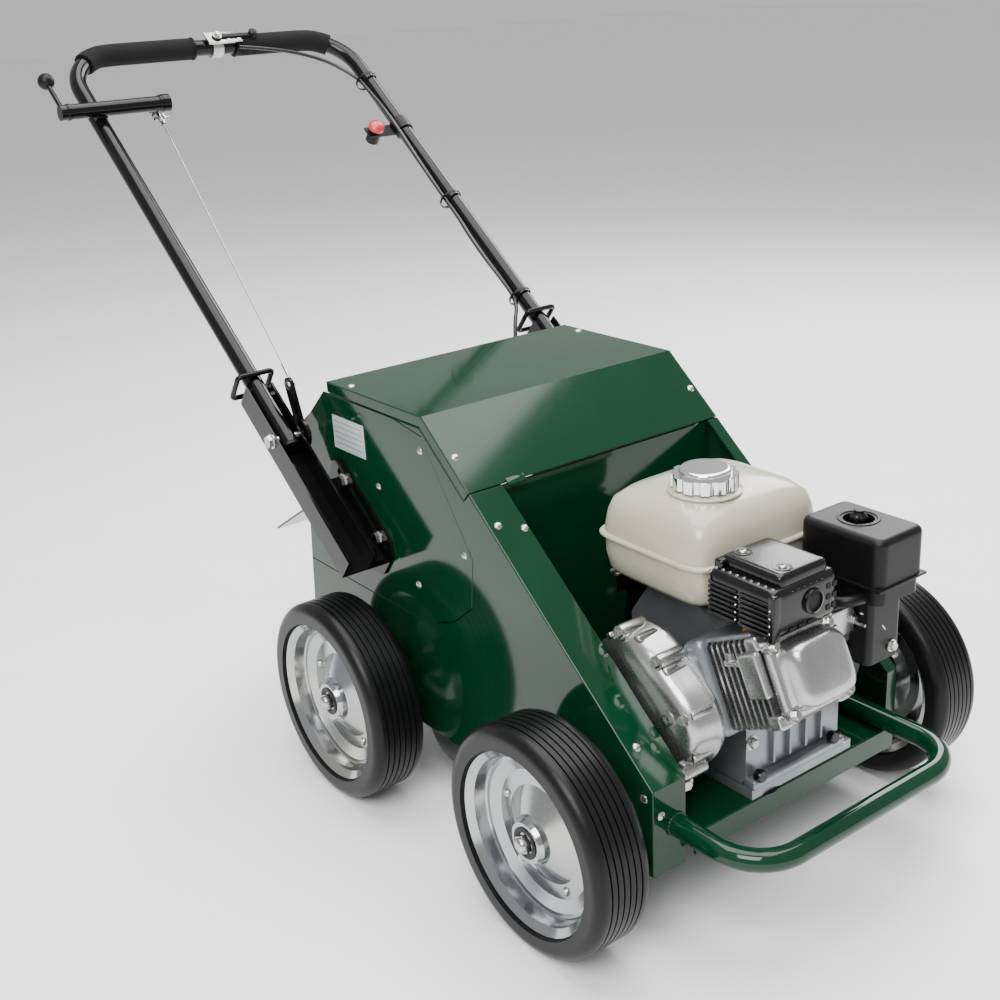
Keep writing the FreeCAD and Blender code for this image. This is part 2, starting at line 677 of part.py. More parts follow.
def bolt_set(name, side, spot, head_x, shank_low, shank_high, radius, nut_x=None):
    """A hex bolt along X with a washer, and a nut when it has one."""
    low, high = (shank_low, shank_high) if side > 0 else (-shank_high, -shank_low)
    shapes = [cylinder(name + "_shank", "x", (low, spot[1], spot[2]), high - low, radius)]
    head_low = head_x if side > 0 else -head_x - 6
    shapes.append(hexagon(name + "_head", "x", (head_low, spot[1], spot[2]), 6, radius * 1.7))
    washer_low = head_x - 1.6 if side > 0 else -head_x
    shapes.append(cylinder(name + "_washer", "x", (washer_low, spot[1], spot[2]), 1.6, radius * 2))
    if nut_x is not None:
        nut_low = nut_x if side > 0 else -nut_x - 6
        shapes.append(hexagon(name + "_nut", "x", (nut_low, spot[1], spot[2]), 6, radius * 1.7))
    return fuse(name, shapes)


def fasteners():
    """Every cover screw, slot bolt and pivot bolt."""
    shapes = []
    for label, side in (("right", -1), ("left", 1)):
        for step, reach in enumerate((-224, -318)):
            spot = on_handle(0, reach, 4.7)
            shapes.append(bolt_set(f"slot_bolt_{label}_{step}", side, spot, 203.9, 194, 204, 4.6))
        spot = on_handle(0, SIZES["pivot_reach"], 0)
        shapes.append(bolt_set(f"pivot_bolt_{label}", side, spot, 263.6, 207, 264, 5, 208))
    node(group("fasteners", shapes + cover_screws()), "fasteners")


def lock_ring(name, side):
    """An oval wire ring that slides down the tube and over the channel's end."""
    start = on_handle(side * SIZES["handle_x"], -38, -5.25)
    body = new_body(name, start, HANDLE_TURN)
    wire, half_x, half_z, bend = 3.6, 25.2, 21.9, 6
    straight = half_x - bend
    rise = half_z - bend
    path = new_sketch(body, "y", None, 0)
    vector = FreeCAD.Vector
    corners = [(straight, rise, 0), (-straight, rise, 90), (-straight, -rise, 180), (straight, -rise, 270)]
    for x, z, angle in corners:
        circle = Part.Circle(vector(x, z, 0), vector(0, 0, 1), bend)
        path.addGeometry(Part.ArcOfCircle(circle, math.radians(angle), math.radians(angle + 90)), False)
    sides = [((straight, half_z), (-straight, half_z)), ((-half_x, rise), (-half_x, -rise)),
             ((-straight, -half_z), (straight, -half_z)), ((half_x, -rise), (half_x, rise))]
    for start_point, end_point in sides:
        path.addGeometry(Part.LineSegment(vector(*start_point, 0), vector(*end_point, 0)), False)
    section = new_sketch(body, "x", None, 0)
    draw(section, [("circle", 0, half_z, wire)])
    ring = body.newObject("PartDesign::AdditivePipe", name + "_wire")
    ring.Profile = section
    ring.Spine = path
    doc.recompute()


LEVER_LENGTH = 62


def lift_lever():
    """Shaft through the cross tube, a rod at its outer end and a cable ear at its inner end."""
    spot = on_handle(0, SIZES["cross_reach"], SIZES["cross_rise"])
    shaft = cylinder("lever_shaft", "x", (-300, spot[1], spot[2]), 157, 8)
    collar = cylinder("lever_collar", "x", (-303, spot[1], spot[2]), 11.5, 11)
    rod = cylinder("lever_rod", "y", (-297, spot[1], spot[2]), LEVER_LENGTH, 3.5)
    rod.Placement = FreeCAD.Placement(FreeCAD.Vector(-297, spot[1], spot[2]), HANDLE_TURN.multiply(turn("x", -90)))
    drum = cylinder("lever_drum", "x", (-147.4, spot[1], spot[2]), 12, 13)
    ear = block("lever_ear", (0, 0, 0), (5, 46, 14))
    ear.Placement = FreeCAD.Placement(FreeCAD.Vector(-147.4, spot[1] - 3, spot[2] - 6), turn("x", -20))
    node(fuse("lift_lever", [shaft, collar, rod, drum, ear]), "lift_lever")


def lift_knob():
    ball = doc.addObject("Part::Sphere", "knob_ball")
    ball.Radius = 12
    spot = on_handle(-297, SIZES["cross_reach"] + LEVER_LENGTH + 6, SIZES["cross_rise"])
    place(ball, spot)
    socket = cylinder("knob_socket", "y", spot, 20, 3.5)
    base = on_handle(-297, SIZES["cross_reach"] + LEVER_LENGTH - 20, SIZES["cross_rise"])
    socket.Placement = FreeCAD.Placement(FreeCAD.Vector(*base), HANDLE_TURN.multiply(turn("x", -90)))
    node(subtract("lift_knob", ball, socket), "lift_knob")


ARM_TIP = (372, 499)
ARM_X = -217
CABLE_TOP = (-139.5, 857, 820)


def lift_arm():
    """The bell-crank on the inner side of the right channel: rounded upper arm and lower lobe."""
    py, pz = value("lift_pivot_y"), value("lift_pivot_z")
    body = new_body("lift_arm", (0, "lift_pivot_y", "lift_pivot_z"))
    tip = (ARM_TIP[0] - py, ARM_TIP[1] - pz)
    length = math.hypot(*tip)
    side = (-tip[1] / length * 10, tip[0] / length * 10)
    low, high = ARM_X - 2.2, ARM_X + 2.2
    pad(body, "x", [("circle", 0, 0, 20)], low, high)
    arm = [(side[0], side[1]), (tip[0] + side[0], tip[1] + side[1]), (tip[0] - side[0], tip[1] - side[1]),
           (-side[0], -side[1])]
    pad(body, "x", [arm], low, high)
    pad(body, "x", [("circle", tip[0], tip[1], 10)], low, high)
    pad(body, "x", [[(-14, -12), (12, -16), (-4, -46), (-22, -40)]], low, high)
    cut(body, "x", [("circle", 0, 0, 5 + RUN_GAP)], low - 1, high + 1)
    cut(body, "x", [("circle", tip[0], tip[1], 3)], low - 1, high + 1)


def straight_cylinder(name, start, end, radius):
    shape = doc.addObject("Part::Cylinder", name)
    step = FreeCAD.Vector(*end) - FreeCAD.Vector(*start)
    shape.Radius = radius
    shape.Height = step.Length
    shape.Placement = FreeCAD.Placement(FreeCAD.Vector(*start), FreeCAD.Rotation(FreeCAD.Vector(0, 0, 1), step))
    return shape


def lift_cable():
    """The taut steel cable from the crank's tip up to the lever's ear, with its end eye."""
    start = (ARM_X + 4.5, ARM_TIP[0], ARM_TIP[1])
    cable = straight_cylinder("cable_run", start, CABLE_TOP, 1.2)
    pin = cylinder("cable_pin", "x", (ARM_X - 2.2, ARM_TIP[0], ARM_TIP[1]), 9, 3 - RUN_GAP)
    node(fuse("lift_cable", [cable, pin]), "lift_cable")


def throttle_clamp():
    spot = on_handle(0, SIZES["handle_top"], 0)
    outer = cylinder("clamp_outer", "x", (2, spot[1], spot[2]), 18, 16.5)
    bore = cylinder("clamp_bore", "x", (1, spot[1], spot[2]), 20, "tube_radius")
    ring = subtract("clamp_ring", outer, bore)
    plate_low = on_handle(-6, SIZES["handle_top"] - 12, 15.5)
    plate = block("throttle_plate", (0, 0, 0), (48, 24, 3))
    plate.Placement = FreeCAD.Placement(FreeCAD.Vector(*plate_low), HANDLE_TURN)
    post_low = on_handle(11, SIZES["handle_top"], 15)
    post = doc.addObject("Part::Cylinder", "throttle_post")
    post.Radius = 3
    post.Height = 12
    post.Placement = FreeCAD.Placement(FreeCAD.Vector(*post_low), HANDLE_TURN)
    node(fuse("throttle_clamp", [ring, plate, post]), "throttle_clamp")


def throttle_lever():
    """A flat lever that swings over the plate, with a ball end."""
    start = on_handle(11, SIZES["handle_top"], 19)
    body = new_body("throttle_lever", start, HANDLE_TURN)
    pad(body, "z", [("circle", 0, 0, 8)], 0, 3)
    pad(body, "z", [[(0, 4), (0, -4), (62, -3), (62, 3)]], 0, 3)
    pad(body, "z", [("circle", 64, 0, 7)], -1, 8)
    cut(body, "z", [("circle", 0, 0, 3 + RUN_GAP)], -2, 9)
    fillet(body, 2, lying_at("z", 8))


BUTTON_X = SIZES["handle_x"] - 50


def stop_switch():
    """The clamp, arm and housing of the engine stop."""
    outer = cylinder("switch_outer", "y", (SIZES["handle_x"], 0, 0), 24, 15.5)
    start = on_handle(SIZES["handle_x"], 381, 0)
    outer.Placement = FreeCAD.Placement(FreeCAD.Vector(*start), HANDLE_TURN.multiply(turn("x", -90)))
    bore = cylinder("switch_bore", "y", (SIZES["handle_x"], 0, 0), 26, "tube_radius")
    start = on_handle(SIZES["handle_x"], 380, 0)
    bore.Placement = FreeCAD.Placement(FreeCAD.Vector(*start), HANDLE_TURN.multiply(turn("x", -90)))
    ring = subtract("switch_ring", outer, bore)
    arm = block("switch_arm", (0, 0, 0), (52, 22, 3))
    start = on_handle(SIZES["handle_x"] - 65, 382, -6)
    arm.Placement = FreeCAD.Placement(FreeCAD.Vector(*start), HANDLE_TURN)
    housing = doc.addObject("Part::Cylinder", "switch_housing")
    housing.Radius = 11
    housing.Height = 16
    start = on_handle(BUTTON_X, 393, -22)
    housing.Placement = FreeCAD.Placement(FreeCAD.Vector(*start), HANDLE_TURN)
    hole = doc.addObject("Part::Cylinder", "switch_hole")
    hole.Radius = 4 + RUN_GAP
    hole.Height = 30
    start = on_handle(BUTTON_X, 393, -12)
    hole.Placement = FreeCAD.Placement(FreeCAD.Vector(*start), HANDLE_TURN)
    solid = fuse("switch_solid", [ring, arm, housing])
    node(subtract("stop_switch", solid, hole), "stop_switch")


def stop_button():
    """A mushroom button whose stem slides square to the handle's plane."""
    stem = doc.addObject("Part::Cylinder", "button_stem")
    stem.Radius = 4
    stem.Height = 16
    stem.Placement = FreeCAD.Placement(FreeCAD.Vector(*on_handle(BUTTON_X, 393, -7)), HANDLE_TURN)
    cap = doc.addObject("Part::Cylinder", "button_cap")
    cap.Radius = 13
    cap.Height = 6
    cap.Placement = FreeCAD.Placement(FreeCAD.Vector(*on_handle(BUTTON_X, 393, 3)), HANDLE_TURN)
    dome = doc.addObject("Part::Sphere", "button_dome")
    dome.Radius = 17
    dome.Angle1 = 40
    dome.Angle2 = 90
    dome.Placement = FreeCAD.Placement(
        FreeCAD.Vector(*on_handle(BUTTON_X, 393, 9 - 17 * math.sin(math.radians(40)))), HANDLE_TURN)
    node(fuse("stop_button", [stem, cap, dome]), "stop_button")


def cord_shape(points, radius):
    """A tube along straight runs joined by arcs as large as each corner's runs allow."""
    points = [FreeCAD.Vector(*point) for point in points]
    edges = []
    radii = []
    at = points[0]
    for before, corner, after in zip(points, points[1:], points[2:]):
        back = (before - corner).normalize()
        ahead = (after - corner).normalize()
        bend = math.pi - back.getAngle(ahead)
        trim = 0.45 * min((before - corner).Length, (after - corner).Length)
        radii.append(trim / math.tan(bend / 2))
        start = corner + back * trim
        end = corner + ahead * trim
        inward = (back + ahead).normalize()
        mid = corner + inward * (math.hypot(trim, radii[-1]) - radii[-1])
        edges.append(Part.LineSegment(at, start).toShape())
        edges.append(Part.Arc(start, mid, end).toShape())
        at = end
    edges.append(Part.LineSegment(at, points[-1]).toShape())
    wire = Part.Wire(edges)
    section = Part.Wire(Part.Circle(points[0], points[1] - points[0], radius).toShape())
    tube = wire.makePipeShell([section], True, False)
    print("cord length", round(wire.Length, 1), "smallest radius", round(min(radii), 1),
          "volume ratio", round(tube.Volume / (math.pi * radius ** 2 * wire.Length), 4))
    return tube


THROTTLE_ROUTE = [
    on_handle(44, 602, 12), on_handle(78, 595, 12), on_handle(118, 587, 10), on_handle(156, 577, 6),
    on_handle(189, 560, 3), on_handle(212, 536, 1), on_handle(225.5, 508, 2), on_handle(225, 470, 6),
    on_handle(219, 420, 16), on_handle(216, 365, 19), on_handle(217, 308, 14), on_handle(223, 260, 6),
    on_handle(226.2, 222, 2), on_handle(224, 180, 5), on_handle(216, 135, 10), on_handle(216, 85, 9),
    on_handle(223, 42, 4), on_handle(226.1, 10, 1), on_handle(219, -14, 0), (203, 431, 498),
    (191, 417, 473), (184, 405, 449), (180, 380.6, 431),
]


def throttle_cable():
    cord = doc.addObject("Part::Feature", "throttle_cable")
    cord.Shape = cord_shape(THROTTLE_ROUTE, 3)
    node(cord, "throttle_cable")


def cable_ties():
    shapes = []
    for step, reach in enumerate((508, 222, 6)):
        start = on_handle(SIZES["handle_x"] - 4.5, reach - 2, 0)
        outer = cylinder(f"tie_outer_{step}", "y", (0, 0, 0), 4, 18.4)
        outer.Placement = FreeCAD.Placement(FreeCAD.Vector(*start), HANDLE_TURN.multiply(turn("x", -90)))
        start = on_handle(SIZES["handle_x"] - 4.5, reach - 3, 0)
        bore = cylinder(f"tie_bore_{step}", "y", (0, 0, 0), 6, 17.2)
        bore.Placement = FreeCAD.Placement(FreeCAD.Vector(*start), HANDLE_TURN.multiply(turn("x", -90)))
        shapes.append(subtract(f"tie_{step}", outer, bore))
    node(group("cable_ties", shapes), "cable_ties")


# ---------------------------------------------------------------- engine
CYLINDER_SEAT = -84


def cylinder_room(name):
    """The space taken by the inclined barrel and its fins beyond their flat seat."""
    lean = turn("x", -SIZES["cylinder_angle"])
    room = block(name, (0, 0, 0), (106, 130, 102))
    corner = FreeCAD.Vector(-40, value("crank_y"), value("crank_z")) + lean.multVec(
        FreeCAD.Vector(-54, CYLINDER_SEAT - 130, -51))
    room.Placement = FreeCAD.Placement(corner, lean)
    return room


def crankcase():
    body = new_body("crankcase_casting")
    NODES.remove(body)
    base = [(-60, -302), (104, -302), (104, -112), (-60, -112)]
    pad(body, "z", [base], ("deck_z", 0.1), ("deck_z", 12))
    barrel = [(-286, 140), (-130, 140), (-112, 165), (-112, 290), (-140, 330), (-214, 336), (-262, 306), (-292, 262),
              (-292, 150)]
    pad(body, "x", [barrel], -60, 92)
    pad(body, "z", [[(-50, -290), (90, -290), (90, -125), (-50, -125)]], ("deck_z", 12), 150)
    fillet(body, 9, lambda edge: straight_along("x")(edge) and edge.BoundBox.ZMin > 150)
    node(subtract("crankcase", body, cylinder_room("crankcase_room")), "crankcase")


def reduction_case():
    """The clutch and reduction case on the belt side, in two halves joined on a split line."""
    body = new_body("reduction_casting")
    NODES.remove(body)
    inner = [(-292, 170), (-292, 240), (-256, 300), (-205, 334), (-156, 334), (-120, 300), (-112, 190), (-140, 148),
             (-262, 148)]
    pad(body, "x", [inner], -102, -60.3)
    outer = [(-284, 176), (-284, 236), (-250, 288), (-200, 322), (-160, 322), (-128, 292), (-120, 196), (-146, 156),
             (-256, 156)]
    pad(body, "x", [outer], -138, -102)
    for y, z in ((-284, 184), (-282, 236), (-236, 304), (-168, 320), (-126, 282), (-122, 200), (-150, 158), (-252, 158)):
        pad(body, "x", [("circle", y, z, 10)], -112, -92)
    fillet(body, 7, lying_at("x", -138.0))
    pad(body, "x", [("circle", "drive_y", "drive_z", 34)], -146.5, -130)
    node(subtract("reduction_case", body, cylinder_room("reduction_room")), "reduction_case")


def cylinder_fins():
    """The inclined finned barrel and head."""
    body = new_body("engine_cylinder", (-40, "crank_y", "crank_z"), turn("x", -SIZES["cylinder_angle"]))
    pad(body, "y", [[(-38, -38), (38, -38), (38, 38), (-38, 38)]], -168, CYLINDER_SEAT - 0.1)
    for step in range(9):
        front = -160 + step * 8.6
        pad(body, "y", [[(-52, -50), (50, -50), (50, 48), (-52, 48)]], front, front + 3)
    fillet(body, 6, straight_along("y"))


def valve_cover():
    body = new_body("valve_cover", (-40, "crank_y", "crank_z"), turn("x", -SIZES["cylinder_angle"]))
    pad(body, "y", [[(-50, -44), (46, -44), (46, 42), (-50, 42)]], -178, -168.2)
    fillet(body, 10, straight_along("y"))
    pad(body, "y", [[(-36, -34), (38, -34), (38, 34), (-36, 34)]], -204, -178)
    fillet(body, 12, lambda edge: straight_along("y")(edge) and edge.BoundBox.YMin < -200)
    fillet(body, 6, lying_at("y", -204.0))


def fuel_tank():
    """Two pressed halves meeting in a flange."""
    body = new_body("fuel_tank")
    upper = [(-88, -252), (106, -252), (106, -84), (-88, -84)]
    pad(body, "z", [upper], 392, 447)
    fillet(body, 30, straight_along("z"))
    fillet(body, 22, lying_at("z", 447.0))
    pad(body, "z", [[(-86, -250), (104, -250), (104, -86), (-86, -86)]], 340, 388)
    fillet(body, 28, lambda edge: straight_along("z")(edge) and edge.BoundBox.ZMax < 389)
    fillet(body, 14, lying_at("z", 340.0))
    pad(body, "z", [[(-94, -258), (112, -258), (112, -78), (-94, -78)]], 388, 392)
    fillet(body, 34, lambda edge: straight_along("z")(edge) and edge.Length < 5)
    pad(body, "z", [("circle", -14, -184, 30)], 446, 452)


def fuel_cap():
    body = new_body("fuel_cap", (-14, -184, 452.3))
    pad(body, "z", [("circle", 0, 0, 37.5)], 0, 14)
    notch = cut(body, "z", [("circle", 40.5, 0, 6)], -1, 15)
    pattern = body.newObject("PartDesign::PolarPattern", "cap_scallops")
    pattern.Originals = [notch]
    pattern.Axis = (notch.Profile[0], ["N_Axis"])
    pattern.Angle = 360
    pattern.Occurrences = 12
    body.Tip = pattern
    doc.recompute()
    pad(body, "z", [("circle", 0, 0, 29)], 14, 20.7)
    fillet(body, 4, lying_at("z", 20.7))


def muffler():
    """The exhaust box inside its guard."""
    body = new_body("muffler")
    pad(body, "y", [[(-88, 346), (10, 346), (10, 400), (-88, 400)]], -352, -259)
    fillet(body, 8, straight_along("y"))
    pad(body, "y", [[(-74, 399), (-4, 399), (-4, 412), (-74, 412)]], -344, -262)
    pad(body, "y", [("circle", -35, 375, 11)], -356, -352)
    cut(body, "y", [("circle", -35, 375, 7)], -357, -330)


def air_cleaner():
    body = new_body("air_cleaner")
    pad(body, "z", [[(50, -372), (125, -372), (125, -262), (50, -262)]], 366, 420)
    fillet(body, 12, straight_along("z"))
    fillet(body, 8, lying_at("z", 420.0))
    cut(body, "z", [("circle", 88, -312, 17)], 411, 421)


def air_cleaner_base():
    body = new_body("air_cleaner_base")
    pad(body, "z", [[(52, -370), (123, -370), (123, -264), (52, -264)]], 345, 365.8)
    fillet(body, 12, straight_along("z"))
    pad(body, "z", [[(58, -356), (112, -356), (112, -294), (58, -294)]], 268, 345)
    fillet(body, 8, lambda edge: straight_along("z")(edge) and edge.BoundBox.ZMax < 346)


def air_cleaner_nut():
    body = new_body("air_cleaner_nut", (88, -312, 411.4))
    pad(body, "z", [("circle", 0, 0, 9)], 0, 6)
    pad(body, "z", [[(-15, -2), (15, -2), (15, 2), (-15, 2)]], 0, 12)


def carburettor():
    body = new_body("carburettor")
    pad(body, "x", [[(-330, 292), (-292, 292), (-292, 334), (-330, 334)]], 14, 57.8)
    pad(body, "z", [("circle", 36, -311, 15)], 266, 294)


ROPE_X = 122.5


def recoil_cover():
    """The pressed starter cover with its cooling air slots."""
    body = new_body("recoil_cover", (0, "crank_y", "crank_z"))
    revolve(body, [[(92.3, 0), (92.3, 92), (128, 92), (142, 70), (148, 40), (148, 0)]])
    for step in range(8):
        angle = math.radians(45 * step + 22)
        centre = (math.cos(angle) * 54, math.sin(angle) * 54)
        cut(body, "x", [("circle", centre[0], centre[1], 7)], 130, 150)
    pad(body, "x", [[(-20, 80), (20, 80), (16, 102), (-16, 102)]], 110, 135)
    cut(body, "z", [("circle", ROPE_X, 0, 3)], 84, 103)


def recoil_grip():
    body = new_body("recoil_grip", (ROPE_X, "crank_y", "crank_z"))
    pad(body, "z", [("circle", 0, 0, 2.4)], 86, 103)
    pad(body, "z", [[(-9, -22), (9, -22), (9, 22), (-9, 22)]], 102.4, 116)
    fillet(body, 5, straight_along("z"))


def engine_cowl():
    """The dark cowl behind and below the tank."""
    body = new_body("engine_cowl")
    pad(body, "x", [[(-150, 337), (-112, 330), (-82, 300), (-82, 336), (-112, 339)]], -56, 90)
    pad(body, "x", [[(-111.8, 180), (-88, 196), (-78, 270), (-82, 300), (-111.8, 318)]], -40, 88)


# ---------------------------------------------------------------- rotor and drive
IDLER_RADIUS = 20


def idler_place():
    """The idler's centre, outside the belt's upper run, two fifths of the way along it."""
    (y1, z1), (y2, z2) = (value("drive_y"), value("drive_z")), (value("rotor_y"), value("rotor_z"))
    gap = math.hypot(y2 - y1, z2 - z1)
    lean = math.atan2(z2 - z1, y2 - y1)
    swing = math.acos((value("drive_pulley_radius") - value("driven_pulley_radius")) / gap)
    share = 0.42
    radius = value("drive_pulley_radius") * (1 - share) + value("driven_pulley_radius") * share
    reach = radius + value("belt_thick") + 2 * MOVE_GAP + IDLER_RADIUS
    return (y1 + (y2 - y1) * share + reach * math.cos(lean + swing),
            z1 + (z2 - z1) * share + reach * math.sin(lean + swing))


ARM_OUTLINE = [(-222, 205), (-216, 234), (-190, 240), (46, 213), (128, 120), (128, 76), (64, 66), (-206, 190)]


def rotor_carrier():
    """Two arms that swing about the drive axis, with their tie tube, bearing seats and the idler's stub."""
    body = new_body("rotor_carrier")
    pad(body, "x", [ARM_OUTLINE], -160, -154)
    pad(body, "x", [("circle", 24, 190, 10)], -154, 183)
    pad(body, "x", [ARM_OUTLINE], 183, 189)
    for low, high in ((-161, -153), (182, 190)):
        cut(body, "x", [("circle", "rotor_y", "rotor_z", 26)], low, high)
    cut(body, "x", [("circle", "drive_y", "drive_z", 12 + RUN_GAP)], -161, -153)
    cut(body, "x", [("circle", "drive_y", "drive_z", 8 + RUN_GAP)], 182, 190)
    pad(body, "x", [("circle", *idler_place(), 12)], -171.6, -158)
    pad(body, "x", [("circle", *idler_place(), 6)], -188, -158)


def rotor_bearings():
    rings = []
    for step, low in enumerate((-160, 183)):
        outer = cylinder(f"rotor_bearing_outer_{step}", "x", (low, "rotor_y", "rotor_z"), 6, 26)
        bore = cylinder(f"rotor_bearing_bore_{step}", "x", (low - 1, "rotor_y", "rotor_z"), 8, 12.5 + RUN_GAP)
        rings.append(subtract(f"rotor_bearing_{step}", outer, bore))
    node(group("rotor_bearings", rings), "rotor_bearings")


def rotor_shaft():
    body = new_body("rotor_shaft", (0, "rotor_y", "rotor_z"))
    revolve(body, [[(-192, 0), (192, 0), (192, "shaft_radius"), (176, "shaft_radius"), (176, "drum_radius"),
                    (-136, "drum_radius"), (-136, "shaft_radius"), (-192, "shaft_radius")]])


BLADE_COUNT = 12
BLADE_PITCH = 27


def rotor_blades():
    """Four-pointed blades threaded on the drum, each turned a little from the last."""
    shapes = []
    for step in range(BLADE_COUNT):
        low = -130 + step * BLADE_PITCH
        points = []
        for arm in range(4):
            for angle, radius in ((-13, 46), (-4, value("tip_radius")), (5, value("tip_radius")), (14, 50), (45, 38)):
                spot = math.radians(angle + 90 * arm + 22.5 * step)
                points.append(FreeCAD.Vector(low, value("rotor_y") + radius * math.cos(spot),
                                             value("rotor_z") + radius * math.sin(spot)))
        outline = Part.makePolygon(points + points[:1])
        plate = Part.Face(outline).extrude(FreeCAD.Vector(3, 0, 0))
        bore = Part.makeCylinder(value("drum_radius"), 5, FreeCAD.Vector(low - 1, value("rotor_y"), value("rotor_z")),
                                 FreeCAD.Vector(1, 0, 0))
        shapes.append(plate.cut(bore))
    blades = doc.addObject("Part::Feature", "rotor_blades")
    blades.Shape = Part.makeCompound(shapes)
    node(blades, "rotor_blades")


def pulley(name, centre_y, centre_z, radius, bore_side):
    """A V-belt pulley; bore_side is the outline's points along the bore, or along its own shaft."""
    body = new_body(name, (0, centre_y, centre_z))
    revolve(body, [bore_side + [(-166, 18), (-168, 18), (-168, (radius, 8)), (-171, (radius, 8)), (-173, radius),
                                (-183, radius), (-185, (radius, 8)), (-188, (radius, 8))]])


def drive_belt():
    """The belt's loop: two arcs round the pulleys and two straight runs between them."""
    centres = [(value("drive_y"), value("drive_z")), (value("rotor_y"), value("rotor_z"))]
    inner = [value("drive_pulley_radius") + MOVE_GAP, value("driven_pulley_radius") + MOVE_GAP]

    def loop(extra, low, width):
        (y1, z1), (y2, z2) = centres
        r1, r2 = inner[0] + extra, inner[1] + extra
        gap = math.hypot(y2 - y1, z2 - z1)
        lean = math.atan2(z2 - z1, y2 - y1)
        swing = math.acos((r1 - r2) / gap)
        ends = []
        for angle in (lean + swing, lean - swing):
            ends.append([FreeCAD.Vector(low, y + r * math.cos(angle), z + r * math.sin(angle))
                         for (y, z), r in zip(centres, (r1, r2))])
        front = FreeCAD.Vector(low, y1 - r1 * math.cos(lean), z1 - r1 * math.sin(lean))
        back = FreeCAD.Vector(low, y2 + r2 * math.cos(lean), z2 + r2 * math.sin(lean))
        edges = [Part.LineSegment(ends[0][0], ends[0][1]).toShape(), Part.Arc(ends[0][1], back, ends[1][1]).toShape(),
                 Part.LineSegment(ends[1][1], ends[1][0]).toShape(), Part.Arc(ends[1][0], front, ends[0][0]).toShape()]
        return Part.Face(Part.Wire(edges)).extrude(FreeCAD.Vector(width, 0, 0))

    belt = doc.addObject("Part::Feature", "drive_belt")
    belt.Shape = loop(value("belt_thick"), -182.4, 8.8).cut(loop(0, -184, 12))
    node(belt, "drive_belt")


def idler():
    y, z = idler_place()
    body = new_body("idler_pulley", (0, y, z))
    revolve(body, [[(-183.5, 6 + RUN_GAP), (-172, 6 + RUN_GAP), (-172, IDLER_RADIUS), (-183.5, IDLER_RADIUS)]])


BUILDERS = [
    right_frame_plate, belt_cover, belt_hatch, left_frame_plate, hood, engine_deck, front_bar, rear_panel,
    rotor_shroud, rear_flap, hinge_pins, axle_stubs, wheel_bearings, handlebar, grips, fasteners, lift_lever,
    lift_knob, lift_arm, lift_cable, throttle_clamp, throttle_lever, stop_switch, stop_button, throttle_cable,
    cable_ties, crankcase, reduction_case, cylinder_fins, valve_cover, fuel_tank, fuel_cap, muffler, air_cleaner,
    air_cleaner_base, air_cleaner_nut, carburettor, recoil_cover, recoil_grip, engine_cowl, rotor_carrier,
    rotor_bearings, rotor_shaft, rotor_blades, drive_belt, idler,
]
for builder in BUILDERS:
    builder()
for wheel, (side, end) in WHEELS.items():
    tyre(wheel, side, end)
    rim(wheel, side, end)
for label, side in (("right", -1), ("left", 1)):
    bracket("bracket_" + label, side)
    lock_ring("lock_ring_" + label, side)
own_shaft = [(-188, 0), (-146.9, 0), (-146.9, 12), (-166, 12)]
pulley("drive_pulley", "drive_y", "drive_z", "drive_pulley_radius", own_shaft)
pulley("driven_pulley", "rotor_y", "rotor_z", "driven_pulley_radius", [(-188, 12.5), (-166, 12.5)])

doc.recompute()
faults = [item.Name for item in doc.Objects if "Invalid" in item.State or "Error" in item.State]
faults += [item.Label for item in NODES if item.Shape.isNull() or not item.Shape.isValid()]
if faults:
    raise RuntimeError("failed objects: " + ", ".join(faults))
for item in NODES:
    item.Shape.exportStep(f"parts/{item.Label}.step")
print(len(NODES), "nodes written")
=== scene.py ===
import json
import math

import bmesh
import bpy
from mathutils import Matrix, Vector


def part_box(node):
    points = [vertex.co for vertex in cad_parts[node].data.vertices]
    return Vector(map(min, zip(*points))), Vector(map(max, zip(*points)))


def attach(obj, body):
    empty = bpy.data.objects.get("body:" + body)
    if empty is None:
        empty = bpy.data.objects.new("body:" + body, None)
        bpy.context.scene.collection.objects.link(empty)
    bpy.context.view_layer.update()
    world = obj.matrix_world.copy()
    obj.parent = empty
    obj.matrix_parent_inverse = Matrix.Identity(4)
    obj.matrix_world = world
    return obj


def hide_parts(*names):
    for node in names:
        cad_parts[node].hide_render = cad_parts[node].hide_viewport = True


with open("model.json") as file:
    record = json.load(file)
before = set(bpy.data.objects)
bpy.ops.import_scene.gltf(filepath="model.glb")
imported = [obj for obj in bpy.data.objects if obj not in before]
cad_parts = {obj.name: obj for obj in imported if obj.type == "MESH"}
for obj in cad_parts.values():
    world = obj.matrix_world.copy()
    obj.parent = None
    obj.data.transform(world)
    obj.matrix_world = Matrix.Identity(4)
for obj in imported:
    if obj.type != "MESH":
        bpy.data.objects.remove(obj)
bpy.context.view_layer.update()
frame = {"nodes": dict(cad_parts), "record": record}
NODES = frame["nodes"]
MATERIALS = {}


# ---------------------------------------------------------------- camera, light and floor
VIEWPOINT = (-1.0027, -1.1611, 0.9726)
YAW, PITCH, ROLL = math.radians(-36.04), math.radians(-20.95), math.radians(-3.24)
LENS = 48.36


